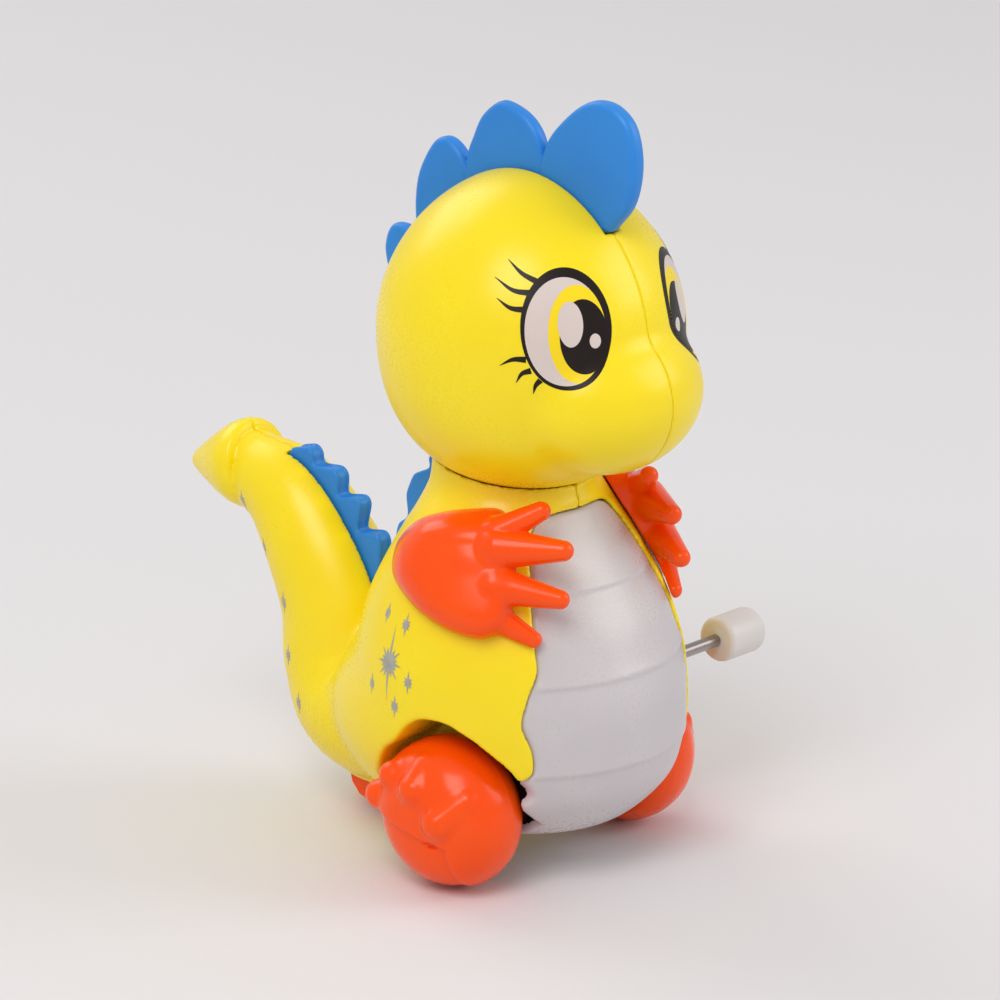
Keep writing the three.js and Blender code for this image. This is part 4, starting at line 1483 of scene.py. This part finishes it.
# -------------------------------------------------------------------- wheels
@dataclass
class FootWheel(Builder):
    """A domed wheel moulded as a foot with four toes; it is built for the left side."""

    rim: list[Pair] = field(default_factory=lambda: [
        (14.0, 0.0), (14.0, 3.2), (16.6, 3.4), (16.8, 9.4), (15.2, 9.7), (15.3, 10.3)])
    dome: list[Pair] = field(default_factory=lambda: [
        (15.6, 10.7), (17.0, 11.5), (19.0, 12.0), (21.6, 12.0), (24.4, 11.2), (27.2, 8.9),
        (28.9, 5.3), (29.4, 0.0)])
    toes: list[tuple[Triple, Triple, float, float]] = field(default_factory=lambda: [
        ((25.4, 9.8, 1.9), (22.6, 8.5, 2.2), 2.4, 2.0),
        ((26.3, 6.0, 6.0), (23.4, 5.4, 6.8), 2.5, 2.0),
        ((27.7, 0.5, 5.5), (25.2, 0.2, 8.6), 2.6, 1.8),
        ((27.9, -4.7, 1.4), (25.2, -7.9, 4.8), 2.8, 1.7)])
    sole_slope: float = 0.2
    sole_depth: float = 0.55

    def form(self) -> Form:
        """The left wheel."""
        curve = curve_through(self.dome + [(28.9, -5.3)], 8)
        outside = [tuple(row) for row in curve if row[1] >= 0]
        line = (1.0, 0.0, 0.0)
        whole = turned((0.0, 0.0, AXLE_Z), line, self.rim + outside)
        inset = [(x - self.sole_depth, max(r - self.sole_depth, 0.0)) for x, r in outside]
        sole = turned((0.0, 0.0, AXLE_Z), line, self.rim + [(19.0, 12.0)]
                      + [q for q in inset if q[0] > 21.4])

        def above_sole(p: Points) -> np.ndarray:
            """Region in front of the step under the toes, which fades out forwards."""
            line_height = AXLE_Z - 1.5 + self.sole_slope * p[:, 1] - p[:, 2]
            return np.minimum(line_height, 0.6 * (p[:, 1] + 6.0))

        wheel = joined(common(whole, above_sole, soft=0.5), sole, soft=0.2)
        balls = [capsule((a[0], a[1], AXLE_Z + a[2]), (b[0], b[1], AXLE_Z + b[2]), r0, r1)
                 for a, b, r0, r1 in self.toes]
        wheel = joined(wheel, joined(*balls, soft=0.3), soft=0.9)
        pocket = ellipsoid((28.9, -3.4, AXLE_Z - 2.6), (1.2, 1.7, 0.6))
        return carved(wheel, pocket, rod(Axis.X, (0.0, AXLE_Z), 1.04, 10, 22), soft=0.4)

    def build(self) -> None:
        """Builds both wheels."""
        piece = self.skinned("foot_left_moulding", self.form(), (13.0, -14.0, -1.2),
                             (32.4, 14.6, 25.4), 0.3)
        self.finish(piece, ORANGE, "wheels", Slot.ORANGE, "foot_wheel_left")
        other = mirror_copy(piece, "foot_right_moulding", self.frame.shift.x)
        self.finish(other, ORANGE, "wheels", Slot.ORANGE, "foot_wheel_right")


# ------------------------------------------------------------- small pieces
@dataclass
class Hardware(Builder):
    """Knob, roller, screws and the clockwork's carried-over nodes."""

    wind: Pair = (-10.0, 29.2)
    knob_radius: float = 3.65
    knob_x: Pair = (31.1, 39.5)
    roller: Pair = (28.0, 4.4)
    roller_half: float = 3.5

    def build_knob(self) -> None:
        """Builds the round-edged winding knob."""
        piece = self.turned_solid("winding_knob_moulding", self.knob_radius, *self.knob_x,
                                  self.wind, 0.9)
        smooth(piece, RIM_ANGLE)
        self.finish(piece, KNOB, "winding", Slot.WHITE, "winding_knob")

    def build_roller(self) -> None:
        """Builds the rear roller."""
        piece = self.turned_solid("rear_roller_moulding", self.roller[1], -self.roller_half,
                                  self.roller_half, self.roller, 0.5)
        smooth(piece, RIM_ANGLE)
        self.finish(piece, ORANGE, "roller", Slot.ORANGE, "rear_roller")

    def dress_nodes(self) -> None:
        """Gives the carried-over CAD nodes their finishes."""
        looks = {
            STEEL: ("drive_axle", "roller_pin", "winding_shaft", "idler_pin", "mainspring",
                    "shell_screw_upper", "shell_screw_lower", "shell_screw_tail"),
            BRASS: ("axle_pinion",),
            NATURAL: ("idler_gear", "idler_pinion", "winding_gear"),
            BLACK: ("motor_case_left", "motor_case_right"),
            ORANGE: ("roller_bracket",),
        }
        for look, names in looks.items():
            for name in names:
                node = self.frame.data["nodes"][name]
                node.data.materials.clear()
                node.data.materials.append(look.build())

    def build(self) -> None:
        """Builds the small pieces."""
        self.build_knob()
        self.build_roller()
        self.dress_nodes()


# -------------------------------------------------------------------- studio
@dataclass
class Studio:
    """Camera, soft lights and the pale floor."""

    frame: Frame
    azimuth: float = -48.0
    elevation: float = 17.0
    distance: float = 850.0
    lens: float = 197.4
    target: Triple = (0.17, 8.15, 55.74)

    def camera(self) -> None:
        """Adds the camera at the toy's three-quarter view."""
        az, el = math.radians(self.azimuth), math.radians(self.elevation)
        back = Vector((math.cos(el) * math.sin(az), -math.cos(el) * math.cos(az), math.sin(el)))
        aim = Vector(self.frame.to_row(np.array(self.target)))
        data = bpy.data.cameras.new("view")
        data.lens = self.lens
        data.sensor_width = 36.0
        data.clip_start, data.clip_end = 0.05, 20.0
        eye = bpy.data.objects.new("view", data)
        bpy.context.scene.collection.objects.link(eye)
        eye.location = aim + back * self.distance * MM
        eye.rotation_euler = back.to_track_quat("Z", "Y").to_euler()
        bpy.context.scene.camera = eye

    def lamp(self, name: str, place: Triple, size: float, power: float, colour: Triple) -> None:
        """Adds one area lamp aimed at the toy, sizes in metres."""
        data = bpy.data.lights.new(name, "AREA")
        data.shape = "SQUARE"
        data.size = size
        data.energy = power
        data.color = colour
        lamp = bpy.data.objects.new(name, data)
        bpy.context.scene.collection.objects.link(lamp)
        lamp.location = place
        aim = Vector((0, 0, 0.06)) - lamp.location
        lamp.rotation_euler = aim.to_track_quat("-Z", "Y").to_euler()

    def backdrop(self) -> None:
        """Adds the plain pale floor."""
        data = bpy.data.materials.new("paper")
        data.use_nodes = True
        shader = data.node_tree.nodes["Principled BSDF"]
        shader.inputs["Base Color"].default_value = linear((222, 220, 222))
        shader.inputs["Roughness"].default_value = 0.75
        deselect()
        bpy.ops.mesh.primitive_plane_add(size=6.0, location=(0, 0, 0))
        floor = bpy.context.object
        floor.name = "floor"
        floor.data.materials.append(data)

    def build(self) -> None:
        """Builds the studio."""
        scene = bpy.context.scene
        scene.view_settings.view_transform = "Standard"
        world = bpy.data.worlds.new("studio")
        world.use_nodes = True
        sky = world.node_tree.nodes["Background"]
        sky.inputs["Color"].default_value = (1.0, 0.985, 0.98, 1)
        sky.inputs["Strength"].default_value = 0.58
        scene.world = world
        self.backdrop()
        self.lamp("key", (-0.75, -0.35, 0.95), 0.6, 6.2, (1.0, 0.985, 0.965))
        self.lamp("fill", (0.75, -0.85, 0.65), 0.7, 4.2, (0.98, 0.985, 1.0))
        self.lamp("back", (0.1, 0.9, 0.8), 0.7, 3.0, (1.0, 1.0, 1.0))


def main() -> None:
    """Builds the toy's looks in order."""
    logging.basicConfig(level=logging.INFO, format="%(message)s")
    frame = Frame(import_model())
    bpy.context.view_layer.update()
    studio = Studio(frame)
    studio.camera()
    head = Head(frame)
    body = Body(frame, head=head)
    for part in (head, body, Arm(frame, torso=body.torso), FootWheel(frame), Hardware(frame)):
        part.build()
    studio.build()


if __name__ == "__main__":
    main()
